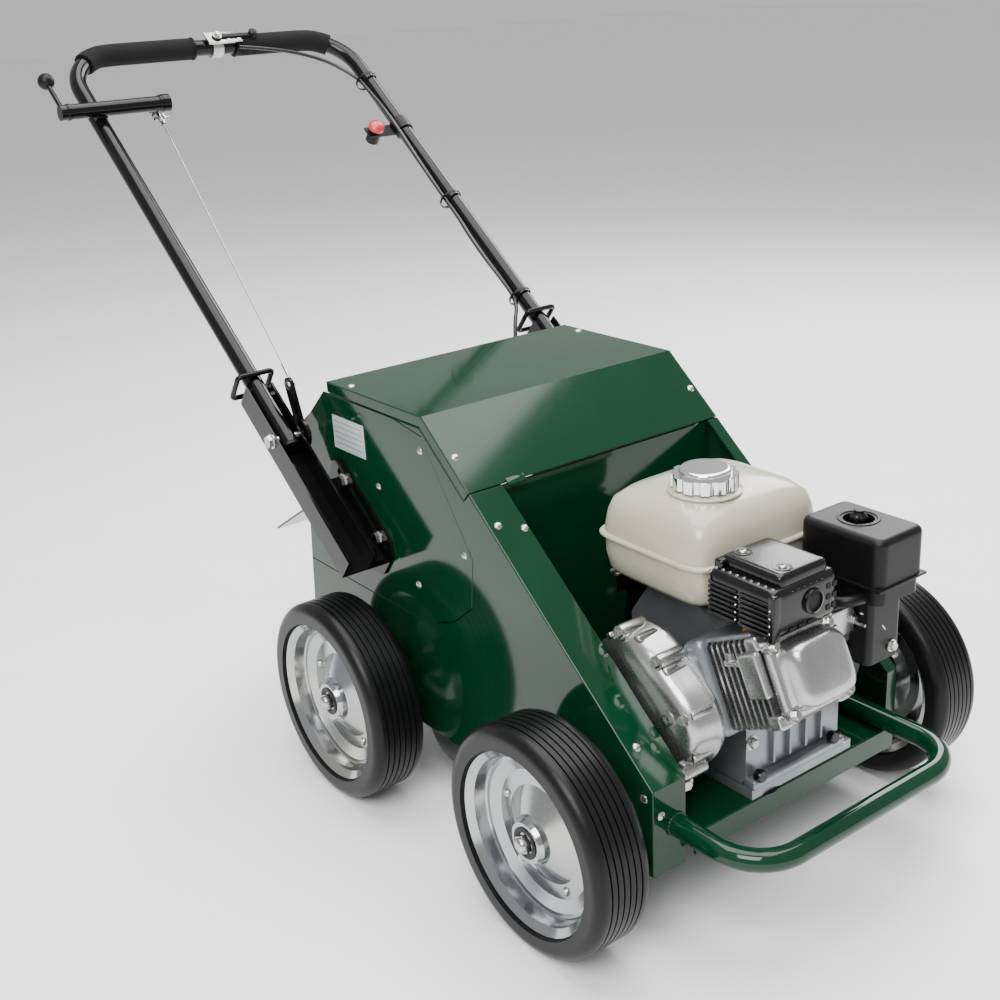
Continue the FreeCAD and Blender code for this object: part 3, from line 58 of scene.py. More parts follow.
def camera():
    """The photograph's viewpoint: position, heading, tilt and roll."""
    yaw, pitch, roll = YAW, PITCH, ROLL
    ahead = Vector((-math.sin(yaw) * math.cos(pitch), math.cos(yaw) * math.cos(pitch), math.sin(pitch)))
    level = Vector((math.cos(yaw), math.sin(yaw), 0))
    upright = level.cross(ahead)
    right = level * math.cos(roll) + upright * math.sin(roll)
    up = upright * math.cos(roll) - level * math.sin(roll)
    data = bpy.data.cameras.new("camera")
    data.lens = LENS
    data.sensor_width = 36
    data.clip_start = 0.05
    eye = bpy.data.objects.new("camera", data)
    turned = Matrix((right, up, -ahead)).transposed().to_4x4()
    eye.matrix_world = Matrix.Translation(VIEWPOINT) @ turned
    bpy.context.collection.objects.link(eye)
    bpy.context.scene.camera = eye


def softbox(name, spot, target, width, height, power):
    data = bpy.data.lights.new(name, "AREA")
    data.shape = "RECTANGLE"
    data.size, data.size_y = width, height
    data.energy = power
    lamp = bpy.data.objects.new(name, data)
    lamp.location = spot
    lamp.rotation_euler = (Vector(target) - Vector(spot)).to_track_quat("-Z", "Y").to_euler()
    bpy.context.collection.objects.link(lamp)


def studio():
    """A pale floor, an even white surround and three soft lights."""
    world = bpy.data.worlds.new("studio")
    bpy.context.scene.world = world
    world.use_nodes = True
    backdrop = world.node_tree.nodes["Background"]
    backdrop.inputs["Color"].default_value = (1.0, 1.0, 1.0, 1)
    backdrop.inputs["Strength"].default_value = 0.62
    softbox("key", (-2.2, -1.6, 3.0), (0, 0, 0.3), 2.0, 2.0, 165)
    softbox("top", (0.3, 0.2, 3.4), (0, 0, 0.3), 3.0, 3.0, 190)
    softbox("rim_light", (2.6, 1.2, 2.2), (0, 0, 0.4), 1.6, 1.6, 80)
    mesh = bpy.data.meshes.new("floor")
    mesh.from_pydata([(-30, -30, 0), (30, -30, 0), (30, 30, 0), (-30, 30, 0)], [], [(0, 1, 2, 3)])
    floor = bpy.data.objects.new("floor", mesh)
    bpy.context.collection.objects.link(floor)
    mesh.materials.append(finish("floor_card", (0.93, 0.93, 0.93), 0.65, grain=40, vary=0.01))


# ---------------------------------------------------------------- materials
def finish(name, color, roughness, metallic=0.0, coat=0.0, grain=300.0, bump=0.0, bump_size=0.0004, vary=0.06,
           tint=None, patch=7.0, spread=0.06, sheen=0.0, specular=0.5):
    """A procedural finish: slow colour drift, uneven gloss and a fine surface grain."""
    if name in MATERIALS:
        return MATERIALS[name]
    material = bpy.data.materials.new(name)
    material.use_nodes = True
    tree = material.node_tree
    shader = tree.nodes["Principled BSDF"]
    place = tree.nodes.new("ShaderNodeTexCoord")
    drift = tree.nodes.new("ShaderNodeTexNoise")
    drift.inputs["Scale"].default_value = patch
    drift.inputs["Detail"].default_value = 4
    tree.links.new(place.outputs["Object"], drift.inputs["Vector"])
    ramp = tree.nodes.new("ShaderNodeValToRGB")
    dark = [channel * (1 - vary) for channel in color]
    light = tint if tint else [min(1, channel * (1 + vary)) for channel in color]
    ramp.color_ramp.elements[0].position = 0.3
    ramp.color_ramp.elements[1].position = 0.7
    ramp.color_ramp.elements[0].color = (*dark, 1)
    ramp.color_ramp.elements[1].color = (*light, 1)
    tree.links.new(drift.outputs["Fac"], ramp.inputs["Fac"])
    tree.links.new(ramp.outputs["Color"], shader.inputs["Base Color"])
    gloss = tree.nodes.new("ShaderNodeMapRange")
    gloss.inputs["To Min"].default_value = max(0.02, roughness - spread)
    gloss.inputs["To Max"].default_value = min(1.0, roughness + spread)
    fine = tree.nodes.new("ShaderNodeTexNoise")
    fine.inputs["Scale"].default_value = grain
    fine.inputs["Detail"].default_value = 3
    tree.links.new(place.outputs["Object"], fine.inputs["Vector"])
    tree.links.new(fine.outputs["Fac"], gloss.inputs["Value"])
    tree.links.new(gloss.outputs["Result"], shader.inputs["Roughness"])
    if bump:
        relief = tree.nodes.new("ShaderNodeBump")
        relief.inputs["Strength"].default_value = bump
        relief.inputs["Distance"].default_value = bump_size
        tree.links.new(fine.outputs["Fac"], relief.inputs["Height"])
        tree.links.new(relief.outputs["Normal"], shader.inputs["Normal"])
    shader.inputs["Metallic"].default_value = metallic
    shader.inputs["Coat Weight"].default_value = coat
    shader.inputs["Coat Roughness"].default_value = 0.04
    shader.inputs["Sheen Weight"].default_value = sheen
    shader.inputs["Specular IOR Level"].default_value = specular
    MATERIALS[name] = material
    return material


def slot_finishes():
    return {
        "green_paint": finish("green_paint", (0.0006, 0.0260, 0.0100), 0.085, grain=90, bump=0.012,
                              specular=0.34, spread=0.02, vary=0.12),
        "black_paint": finish("black_paint", (0.0035, 0.0035, 0.0035), 0.12, grain=400, bump=0.02,
                              specular=0.25, spread=0.03),
        "grip_foam": finish("grip_foam", (0.006, 0.006, 0.0062), 0.92, grain=2400, bump=0.7, bump_size=0.0006,
                            specular=0.25),
        "tyre_rubber": finish("tyre_rubber", (0.0045, 0.0045, 0.005), 0.34, grain=900, bump=0.12, vary=0.2,
                              specular=0.2, spread=0.12),
        "zinc_rim": finish("zinc_rim", (0.36, 0.385, 0.42), 0.15, metallic=1.0, grain=260, bump=0.05, patch=9,
                           tint=(0.46, 0.455, 0.41), spread=0.06),
        "zinc_hardware": finish("zinc_hardware", (0.42, 0.43, 0.44), 0.26, metallic=1.0, grain=900, bump=0.05,
                                tint=(0.55, 0.54, 0.49), patch=40),
        "blade_steel": finish("blade_steel", (0.16, 0.16, 0.165), 0.42, metallic=0.9, grain=500, bump=0.2),
        "cream_paint": finish("cream_paint", (0.40, 0.385, 0.295), 0.24, coat=0.3, grain=500, bump=0.02,
                              vary=0.04),
        "cap_chrome": finish("cap_chrome", (0.80, 0.81, 0.82), 0.09, metallic=1.0, grain=200, spread=0.04),
        "cast_aluminium": finish("cast_aluminium", (0.42, 0.42, 0.415), 0.26, metallic=0.95, grain=1100,
                                 bump=0.08, bump_size=0.0005, patch=25, vary=0.1),
        "engine_grey": finish("engine_grey", (0.22, 0.235, 0.25), 0.32, metallic=0.7, grain=900, bump=0.3,
                              bump_size=0.0005, patch=22, vary=0.14),
        "guard_black": finish("guard_black", (0.0035, 0.0035, 0.0037), 0.20, coat=0.08, grain=800, bump=0.08,
                              specular=0.3),
        "black_plastic": finish("black_plastic", (0.0035, 0.0035, 0.0038), 0.40, grain=1900, bump=0.35,
                                specular=0.22, bump_size=0.0003, spread=0.08),
        "red_plastic": finish("red_plastic", (0.55, 0.010, 0.022), 0.28, coat=0.3, grain=500, bump=0.03),
        "belt_rubber": finish("belt_rubber", (0.014, 0.013, 0.012), 0.8, grain=1200, bump=0.3),
        "cable_steel": finish("cable_steel", (0.42, 0.42, 0.41), 0.38, metallic=1.0, grain=1500, bump=0.5),
        "cable_sheath": finish("cable_sheath", (0.009, 0.009, 0.009), 0.35, grain=900, bump=0.05),
    }


def paint_frame(finishes):
    """Give every CAD node the finish of its record slot."""
    for row in frame["record"]["subparts"]:
        solid = NODES[row["node"]]
        if not solid.material_slots:
            solid.data.materials.append(None)
        for holder in solid.material_slots:
            holder.material = finishes[row["material_slot"]]


def add_piece(name, mesh_or_curve, slot_name, body, stands_for=(), smooth=40):
    piece = bpy.data.objects.new(name, mesh_or_curve)
    bpy.context.collection.objects.link(piece)
    piece.data.materials.append(FINISH[slot_name])
    if smooth and isinstance(mesh_or_curve, bpy.types.Mesh):
        mesh_or_curve.shade_smooth()
        bpy.context.view_layer.objects.active = piece
        piece.select_set(True)
        bpy.ops.object.shade_smooth_by_angle(angle=math.radians(smooth))
        piece.select_set(False)
    if stands_for:
        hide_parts(*stands_for)
    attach(piece, body)
    return piece


def mesh_from(name, builder):
    work = bmesh.new()
    builder(work)
    bmesh.ops.remove_doubles(work, verts=work.verts, dist=1e-6)
    bmesh.ops.recalc_face_normals(work, faces=work.faces)
    mesh = bpy.data.meshes.new(name)
    work.to_mesh(mesh)
    work.free()
    return mesh


def pointing(spot, direction, spin=0.0):
    """A matrix that puts local +Z along a direction at a spot."""
    return Matrix.Translation(spot) @ Vector(direction).to_track_quat("Z", "Y").to_matrix().to_4x4() @ \
        Matrix.Rotation(spin, 4, "Z")


def lathe(work, profile, matrix, steps=32):
    """Turn (radius, height) points about local Z; a zero radius closes the end."""
    rings = []
    for radius, height in profile:
        if radius < 1e-6:
            rings.append([work.verts.new(matrix @ Vector((0, 0, height)))])
            continue
        rings.append([work.verts.new(matrix @ Vector((radius * math.cos(2 * math.pi * step / steps),
                                                       radius * math.sin(2 * math.pi * step / steps), height)))
                      for step in range(steps)])
    for low, high in zip(rings, rings[1:]):
        for step in range(steps):
            after = (step + 1) % steps
            corners = [low[step % len(low)], low[after % len(low)],
                       high[after % len(high)], high[step % len(high)]]
            unique = list(dict.fromkeys(corners))
            if len(unique) > 2:
                work.faces.new(unique)


def bridge(work, loops):
    """Faces between closed loops of equally many points, one after another."""
    steps = len(loops[0])
    for near, far in zip(loops, loops[1:]):
        for step in range(steps):
            after = (step + 1) % steps
            work.faces.new((near[step], near[after], far[after], far[step]))


def squarish(angle, corner):
    """A unit circle's point pushed out towards a square; a larger corner value is squarer."""
    across, up = math.cos(angle), math.sin(angle)
    return math.copysign(abs(across) ** (2 / corner), across), math.copysign(abs(up) ** (2 / corner), up)


def slab(work, matrix, size, bevel=0.0, segments=3):
    """A box centred on its matrix, with rounded edges."""
    made = bmesh.ops.create_cube(work, size=1.0, matrix=matrix @ Matrix.Diagonal((*size, 1)))
    if bevel:
        edges = list({edge for vert in made["verts"] for edge in vert.link_edges})
        bmesh.ops.bevel(work, geom=edges, offset=bevel, segments=segments, profile=0.6, affect="EDGES")


def hex_head(work, matrix, radius, height):
    """A hex head with a chamfered crown over a round washer."""
    lathe(work, [(0, 0), (radius * 1.45, 0), (radius * 1.45, height * 0.22), (0, height * 0.22)], matrix, 24)
    lathe(work, [(0, height * 0.2), (radius, height * 0.2), (radius, height * 0.85), (radius * 0.84, height),
                 (0, height)], matrix, 6)


def button_head(work, matrix, radius):
    lathe(work, [(radius, 0), (radius * 0.96, radius * 0.28), (radius * 0.72, radius * 0.55),
                 (radius * 0.34, radius * 0.62), (radius * 0.34, radius * 0.2), (0, radius * 0.2)], matrix, 20)


def wire(name, points, radius, slot_name, body, order=3, stands_for=()):
    """A round rod or hose along a smooth curve through a few control points."""
    curve = bpy.data.curves.new(name, "CURVE")
    curve.dimensions = "3D"
    curve.bevel_depth = radius
    curve.bevel_resolution = 4
    curve.use_fill_caps = True
    run = curve.splines.new("NURBS")
    run.points.add(len(points) - 1)
    for point, place in zip(run.points, points):
        point.co = (*place, 1)
    run.order_u = order
    run.use_endpoint_u = True
    run.resolution_u = 12
    return add_piece(name, curve, slot_name, body, stands_for)


# ---------------------------------------------------------------- places taken from the frame
def span(node):
    low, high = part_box(node)
    return Vector(low), Vector(high)


def middle(node):
    low, high = span(node)
    return (low + high) / 2


def mm(x, y, z):
    return Vector((x, y, z)) / 1000


HANDLE_SLOPE = math.radians(38.05)
HANDLE_ROOT_Y, HANDLE_ROOT_Z = 457, 521


def handle_point(across, reach, rise):
    """A point given in millimetres across, up the handle, and square to its plane."""
    slope = HANDLE_SLOPE
    return mm(across, HANDLE_ROOT_Y + reach * math.cos(slope) - rise * math.sin(slope),
              HANDLE_ROOT_Z + reach * math.sin(slope) + rise * math.cos(slope))


HANDLE_UP = Vector((0, math.cos(HANDLE_SLOPE), math.sin(HANDLE_SLOPE)))
HANDLE_OUT = Vector((0, -HANDLE_UP.z, HANDLE_UP.y))
WHEELS = ("front_right", "front_left", "rear_right", "rear_left")


# ---------------------------------------------------------------- wheels
def wheel_details():
    """Rivets round the pressed disc, a pressed ring, a black grease seal and a domed nut on each wheel."""
    for wheel in WHEELS:
        centre = middle("rim_" + wheel)
        side = 1 if centre.x > 0 else -1
        outward = Vector((side, 0, 0))

        def rivets(work):
            for step in range(5):
                angle = 2 * math.pi * step / 5 + 0.35
                spot = centre + Vector((side * 0.0029, 0.064 * math.cos(angle), 0.064 * math.sin(angle)))
                lathe(work, [(0.0052, 0), (0.0050, 0.0012), (0.0036, 0.0030), (0, 0.0037)],
                      pointing(spot, outward), 16)

        def seal(work):
            base = pointing(centre + outward * 0.0265, outward)
            lathe(work, [(0.0182, 0), (0.0182, 0.0016), (0.0150, 0.0022), (0.0118, 0.0006), (0.0118, 0)],
                  base, 36)

        def nut(work):
            base = pointing(centre + outward * 0.0325, outward)
            lathe(work, [(0.0088, 0), (0.0084, 0.0028), (0.0058, 0.0052), (0, 0.0060)], base, 24)

        def press_ring(work):
            base = pointing(centre, outward)
            lathe(work, [(0.0905, 0.0086), (0.0925, 0.0108), (0.0945, 0.0086)], base, 72)

        add_piece("rivets_" + wheel, mesh_from("rivets", rivets), "zinc_hardware", "wheel_" + wheel)
        add_piece("seal_" + wheel, mesh_from("seal", seal), "black_plastic", "wheel_" + wheel)
        add_piece("nut_" + wheel, mesh_from("nut", nut), "zinc_hardware", "frame")
        add_piece("press_ring_" + wheel, mesh_from("press_ring", press_ring), "zinc_rim", "wheel_" + wheel)


# ---------------------------------------------------------------- handle
def grip_sleeves():
    """Foam sleeves that follow the crossbar into its bends, with a black ring at each inner end."""
    sleeves = {
        "grip_right": [(-214, 603), (-196, 617), (-166, 620), (-120, 620), (-74, 620), (-28, 620)],
        "grip_left": [(44, 620), (90, 620), (130, 620), (166, 620), (196, 617), (214, 603)],
    }
    for name, run in sleeves.items():
        stands_for = ("grips",) if name == "grip_right" else ()
        wire(name, [handle_point(across, reach, 0) for across, reach in run], 0.0168, "grip_foam", "frame",
             stands_for=stands_for)

    def rings(work):
        for across in (-29, 45):
            base = pointing(handle_point(across, 620, 0), (1, 0, 0))
            lathe(work, [(0.0126, -0.0012), (0.0176, -0.0012), (0.0176, 0.0012), (0.0126, 0.0012)], base, 32)

    add_piece("grip_end_rings", mesh_from("rings", rings), "black_plastic", "frame")


def throttle_details():
    """The clamp's screw, the bright notch plate with its two rivets, and the lever's pivot nut."""
    def parts(work):
        base = pointing(handle_point(11, 620, 22), HANDLE_OUT)
        hex_head(work, base, 0.0052, 0.0062)
        for across in (30, 48):
            lathe(work, [(0.0036, 0), (0.0032, 0.0016), (0, 0.0022)],
                  pointing(handle_point(across, 612, 18.5), HANDLE_OUT), 16)
        plate = Matrix.Translation(handle_point(22, 620, 18.2)) @ Matrix.Rotation(HANDLE_SLOPE, 4, "X")
        slab(work, plate, (0.060, 0.026, 0.0016), 0.0006)
        slab(work, plate @ Matrix.Translation(mm(-27, 0, 1)), (0.006, 0.026, 0.004), 0.0012)

    add_piece("throttle_bright_parts", mesh_from("throttle", parts), "zinc_hardware", "frame")

    def knurl(work):
        base = pointing(handle_point(75, 620, 22), HANDLE_OUT)
        lathe(work, [(0.0066, -0.003), (0.0076, 0), (0.0072, 0.004), (0.004, 0.0062), (0, 0.0064)], base, 24)

    add_piece("throttle_ball", mesh_from("ball", knurl), "black_plastic", "throttle")


def lift_details():
    """The ear's cable clamp, the cross tube's end collar and the twisted eye at the crank's tip."""
    def clamp(work):
        for offset in (0, 13):
            spot = mm(-139.4, 857 - offset, 820 - offset * 0.75)
            hex_head(work, pointing(spot, (1, 0, 0)), 0.0062, 0.0058)
            lathe(work, [(0.0026, -0.012), (0.0026, 0.011), (0, 0.0115)], pointing(spot, (1, 0, 0)), 16)
        slab(work, Matrix.Translation(mm(-139.5, 849, 814)) @ Matrix.Rotation(math.radians(36), 4, "X"),
             (0.005, 0.026, 0.008), 0.0012)
        lathe(work, [(0.004, 0), (0.0046, 0.004), (0.0046, 0.018), (0.003, 0.022)],
              pointing(mm(-140.5, 850, 815), (-0.125, -0.82, -0.56)), 20)

    add_piece("cable_clamp", mesh_from("clamp", clamp), "zinc_hardware", "lever")

    def eye(work):
        lathe(work, [(0.0014, 0), (0.0023, 0.002), (0.0023, 0.020), (0.0014, 0.024)],
              pointing(mm(-210.6, 384.4, 507.2), (0.125, 0.829, 0.549)), 20)
        hex_head(work, pointing(mm(-219.2, 372, 499), (-1, 0, 0)), 0.005, 0.0016)

    add_piece("cable_end", mesh_from("eye", eye), "zinc_hardware", "cable")

    def collar(work):
        for across in (-290.5, -149):
            lathe(work, [(0.0112, -0.003), (0.0122, -0.002), (0.0122, 0.002), (0.0112, 0.003)],
                  pointing(handle_point(across, 479, 22.5), (1, 0, 0)), 32)
        slab(work, Matrix.Translation(handle_point(-242, 479, 11)) @ Matrix.Rotation(HANDLE_SLOPE, 4, "X"),
             (0.020, 0.018, 0.010), 0.003)

    add_piece("cross_tube_collars", mesh_from("collars", collar), "black_paint", "frame")


def tube_end_caps():
    """A plug in the lower end of each handle leg."""
    def caps(work):
        for across in (-242, 242):
            lathe(work, [(0.0122, -0.001), (0.0118, 0.0035), (0.0, 0.005)],
                  pointing(handle_point(across, -149, 0), -HANDLE_UP), 28)

    add_piece("tube_end_caps", mesh_from("caps", caps), "black_plastic", "frame")


# ---------------------------------------------------------------- engine
CYLINDER_LEAN = math.radians(25)
CYLINDER_ROOT = mm(-40, -200, 232)
OUTWARDS = Vector((0, -math.cos(CYLINDER_LEAN), math.sin(CYLINDER_LEAN)))


def tilted(across, out, up):
    """A point on the inclined cylinder: across, outwards along its axis, and square to it, in millimetres."""
    local = Vector((across, -out, up))
    return (Matrix.Translation(CYLINDER_ROOT) @ Matrix.Rotation(-CYLINDER_LEAN, 4, "X")) @ (local / 1000)


def tilted_matrix(across, out, up):
    return Matrix.Translation(tilted(across, out, up)) @ Matrix.Rotation(-CYLINDER_LEAN, 4, "X")


def muffler_guard():
    """The folded guard: louvred side, drilled shoulders, slotted front, outlet ring and two cover screws; flat
    black patches paint the shade inside the outlet and front slots, and tiny zinc dots paint highlights at the
    louvres' ends.
    """
    screws = ((-52, -276), (-52, -330))

    def guard(work):
        box = Matrix.Translation(mm(-39, -305.2, 373))
        slab(work, box, (0.098, 0.0928, 0.054), 0.011, 4)
        slab(work, Matrix.Translation(mm(-36, -304, 402)), (0.074, 0.084, 0.020), 0.009, 5)
        for column in (-283, -327):
            for step in range(7):
                slab(work, Matrix.Translation(mm(-88.6, column, 353 + step * 5.6)),
                     (0.0034, 0.040, 0.0036), 0.0015, 2)
        slab(work, Matrix.Translation(mm(-84, -349, 371)), (0.012, 0.009, 0.052), 0.003, 3)
        lathe(work, [(0.0140, -0.001), (0.0136, 0.0024), (0.0108, 0.0032), (0.0104, -0.001)],
              pointing(mm(-30, -352.5, 375), (0, -1, 0)), 36)
        slab(work, Matrix.Translation(mm(-72, -267, 402)), (0.016, 0.012, 0.014), 0.004, 3)
        for spot in screws:
            lathe(work, [(0.0105, 0), (0.0100, 0.0012), (0.0072, 0.0010), (0.0066, 0)],
                  Matrix.Translation(mm(*spot, 411.4)), 28)

    add_piece("muffler_guard", mesh_from("guard", guard), "guard_black", "frame", ("muffler",), smooth=35)

    def bright(work):
        for row, (x, z) in enumerate(((-84.5, 396.5), (-80.5, 400.0))):
            for step in range(9):
                spot = mm(x, -262 - step * 9.6 - row * 4, z)
                slab(work, Matrix.Translation(spot) @ Matrix.Rotation(math.radians(-45), 4, "Y"),
                     (0.0030, 0.0036, 0.0012), 0.0004, 1)
        for step in range(6):
            spot = mm(-60 + step * 9, -348.2, 396.2)
            slab(work, Matrix.Translation(spot) @ Matrix.Rotation(math.radians(45), 4, "X"),
                 (0.0030, 0.0072, 0.0012), 0.0005, 1)
        # Tiny zinc dots at the ends of the louvres: painted highlights standing in for glints, not parts of the
        # guard.
        for column in (-302, -348):
            for step in range(4):
                lathe(work, [(0.0013, 0), (0.0008, 0.0006), (0, 0.0007)],
                      pointing(mm(-90.2, column, 356 + step * 8.4), (-1, 0, 0)), 10)
        for spot in screws:
            button_head(work, Matrix.Translation(mm(*spot, 411.5)), 0.0048)

    add_piece("guard_bright_parts", mesh_from("guard_bright", bright), "zinc_hardware", "frame")

    # Flat black patches in the outlet ring and on the front: painted shade standing in for the dark inside the
    # openings, not real holes.
    def dark(work):
        lathe(work, [(0, 0), (0.0104, 0)], pointing(mm(-30, -352.9, 375), (0, -1, 0)), 32)
        for row in range(3):
            for column in range(2):
                slab(work, Matrix.Translation(mm(-6 + column * 9, -352.1, 360 + row * 12)),
                     (0.006, 0.0012, 0.006), 0.0005, 1)
        for column in range(3):
            slab(work, Matrix.Translation(mm(-60 + column * 14, -352.1, 353)),
                 (0.009, 0.0012, 0.004), 0.0005, 1)

    add_piece("guard_openings", mesh_from("guard_dark", dark), "shade_and_print_black", "frame", smooth=0)


def exhaust_pipe():
    """The short pipe under the muffler, and its flange with two nuts."""
    wire("exhaust_pipe", [mm(-64, -302, 300), mm(-66, -303, 316), mm(-66, -303, 330), mm(-64, -303, 352)],
         0.0115, "hot_pipe", "frame")

    def flange(work):
        base = Matrix.Translation(mm(-68, -304, 306)) @ Matrix.Rotation(math.radians(-20), 4, "X")
        slab(work, base, (0.050, 0.034, 0.007), 0.003, 3)
        for across in (-19, 19):
            hex_head(work, base @ Matrix.Translation(mm(across, -across * 0.3, 3.5)), 0.0066, 0.0080)

    add_piece("exhaust_flange", mesh_from("flange", flange), "cast_aluminium", "frame")


def head_cover():
    """The valve cover: lipped flange, rounded square dome that narrows towards its face, and four bolts."""
    profile = ((168.4, 0.0, 8), (168.4, 1.0, 8), (175.5, 1.0, 8), (177.5, 0.975, 8), (178, 0.90, 6),
               (179.5, 0.87, 5), (186, 0.84, 5), (194, 0.81, 5), (200, 0.76, 4.5), (203.5, 0.66, 4), (205, 0.50, 4),
               (205.4, 0.0, 4))
    half_width, half_height, steps = 48, 42.5, 80
    corners = ((-42, -37), (40, -37), (-42, 35), (40, 35))

    def cover(work):
        loops = []
        for out, scale, corner in profile:
            loop = []
            for step in range(steps):
                across, up = squarish(2 * math.pi * step / steps, corner)
                place = tilted(-1 + across * half_width * scale, out, -1 + up * half_height * scale)
                loop.append(work.verts.new(place))
            loops.append(loop)
        bridge(work, loops)

    add_piece("valve_cover_shell", mesh_from("cover", cover), "cast_aluminium", "frame",
              ("valve_cover",), smooth=50)

    def lobes(work):
        for across, up in corners:
            lathe(work, [(0.0, -0.010), (0.0085, -0.010), (0.0085, -0.0005), (0.0072, 0.0004), (0.0, 0.0004)],
                  pointing(tilted(across, 178, up), OUTWARDS), 20)

    def heads(work):
        for across, up in corners:
            hex_head(work, pointing(tilted(across, 178.4, up), OUTWARDS), 0.0054, 0.0055)

    add_piece("valve_cover_lobes", mesh_from("lobes", lobes), "cast_aluminium", "frame")
    add_piece("valve_cover_bolts", mesh_from("bolts", heads), "zinc_hardware", "frame")


def cylinder_details():
    """Head lugs, the plug with its boot and lead, and the cooling shroud's edge."""
    def lugs(work):
        for across, up in ((-46, -42), (42, -42), (-46, 42), (42, 42)):
            slab(work, tilted_matrix(across, 160, up), (0.018, 0.018, 0.016), 0.004, 3)
        slab(work, tilted_matrix(-54, 152, 10), (0.010, 0.030, 0.050), 0.004, 3)

    add_piece("head_lugs", mesh_from("lugs", lugs), "cast_aluminium", "frame")
    wire("plug_boot", [tilted(20, 176, 44), tilted(24, 170, 56), tilted(30, 158, 66), tilted(34, 146, 72)],
         0.0085, "black_plastic", "frame")
    wire("plug_lead", [tilted(34, 148, 71), tilted(40, 130, 82), tilted(56, 100, 86), tilted(80, 70, 80),
                       tilted(96, 50, 60)], 0.0035, "cable_sheath", "frame")

    def shroud(work):
        slab(work, tilted_matrix(4, 108, 50), (0.104, 0.096, 0.006), 0.0025, 3)
        slab(work, tilted_matrix(-4, 76, 0), (0.116, 0.030, 0.108), 0.010, 4)

    add_piece("cylinder_shroud", mesh_from("shroud", shroud), "engine_grey", "frame")


def reduction_details():
    """The domed gear case with its split line, long ridges, bolt lobes, cap screws and level plug."""
    centre = Vector((-205, 234))
    steps = 72
    lobes = ((-270, 176), (-276, 246), (-236, 298), (-178, 312), (-140, 262), (-142, 190), (-200, 160))

    def outline(angle):
        """The case's reach from its centre, in millimetres: a rounded lozenge."""
        return 80 + 8 * math.cos(2 * angle - 0.9) + 4 * math.cos(4 * angle)

    def shell(work):
        rings = ((-100, 1.05), (-106, 1.07), (-110, 1.03), (-128, 1.00), (-136, 0.95), (-141, 0.84),
                 (-142.5, 0.6), (-141, 0.42), (-143, 0.38), (-143.5, 0.0))
        loops = []
        for x, scale in rings:
            loop = []
            for step in range(steps):
                angle = 2 * math.pi * step / steps
                reach = outline(angle)
                y = centre.x + reach * scale * math.cos(angle)
                z = centre.y + reach * scale * math.sin(angle)
                loop.append(work.verts.new(mm(x, y, z)))
            loops.append(loop)
        bridge(work, loops)

    def ridges(work):
        for angle in (-0.55, -0.25, 0.35, 0.95, 1.55, 2.2, 2.9, 3.5, 4.1, 4.7):
            direction = Vector((0, math.cos(angle), math.sin(angle)))
            spot = mm(-119, centre.x, centre.y) + direction * (outline(angle) * 1.005 / 1000)
            slab(work, Matrix.Translation(spot) @ Matrix.Rotation(angle, 4, "X"),
                 (0.036, 0.006, 0.009), 0.0028, 3)
        for y, z in lobes:
            lathe(work, [(0.0, 0.0), (0.0088, 0.0), (0.0088, 0.030), (0.0074, 0.034), (0.0, 0.034)],
                  pointing(mm(-104, y, z), (-1, 0, 0)), 24)

    add_piece("gear_case_shell", mesh_from("shell", shell), "cast_aluminium", "frame",
              ("reduction_case",), smooth=50)
    add_piece("gear_case_ridges", mesh_from("ridges", ridges), "cast_aluminium", "frame", smooth=50)

    def screws(work):
        for y, z in lobes:
            hex_head(work, pointing(mm(-138, y, z), (-1, 0, 0)), 0.0056, 0.0050)
        hex_head(work, pointing(mm(-142, -257, 240), (-1, 0, 0)), 0.0070, 0.0040)
        hex_head(work, pointing(mm(-124, -262, 157), (-0.2, -1, 0)), 0.0072, 0.0080)
        hex_head(work, pointing(mm(-62, -301, 200), (0, -1, 0)), 0.0060, 0.0070)

    add_piece("gear_case_screws", mesh_from("screws", screws), "zinc_hardware", "frame")

    def oil_plugs(work):
        for x, y, z in ((-48, -299, 152), (72, -299, 152)):
            lathe(work, [(0.0, 0), (0.0075, 0), (0.0075, 0.006), (0.0060, 0.008), (0.0, 0.008)],
                  pointing(mm(x, y, z), (0, -1, 0.15)), 20)

    add_piece("oil_plugs", mesh_from("oil_plugs", oil_plugs), "guard_black", "frame")


def crankcase_details():
    """Foot bolts and the ribs on the case's front."""
    def feet(work):
        for x in (-46, 90):
            for y in (-294, -122):
                hex_head(work, Matrix.Translation(mm(x, y, 138.2)), 0.0072, 0.0078)

    add_piece("engine_foot_bolts", mesh_from("feet", feet), "zinc_hardware", "frame")

    def ribs(work):
        for step in range(4):
            slab(work, Matrix.Translation(mm(-20 + step * 26, -292, 190)), (0.005, 0.012, 0.070), 0.002, 2)
        slab(work, Matrix.Translation(mm(16, -290, 262)), (0.140, 0.014, 0.012), 0.004, 3)
        slab(work, Matrix.Translation(mm(16, -296, 143)), (0.150, 0.018, 0.012), 0.004, 3)

    add_piece("crankcase_ribs", mesh_from("case_ribs", ribs), "engine_grey", "frame")


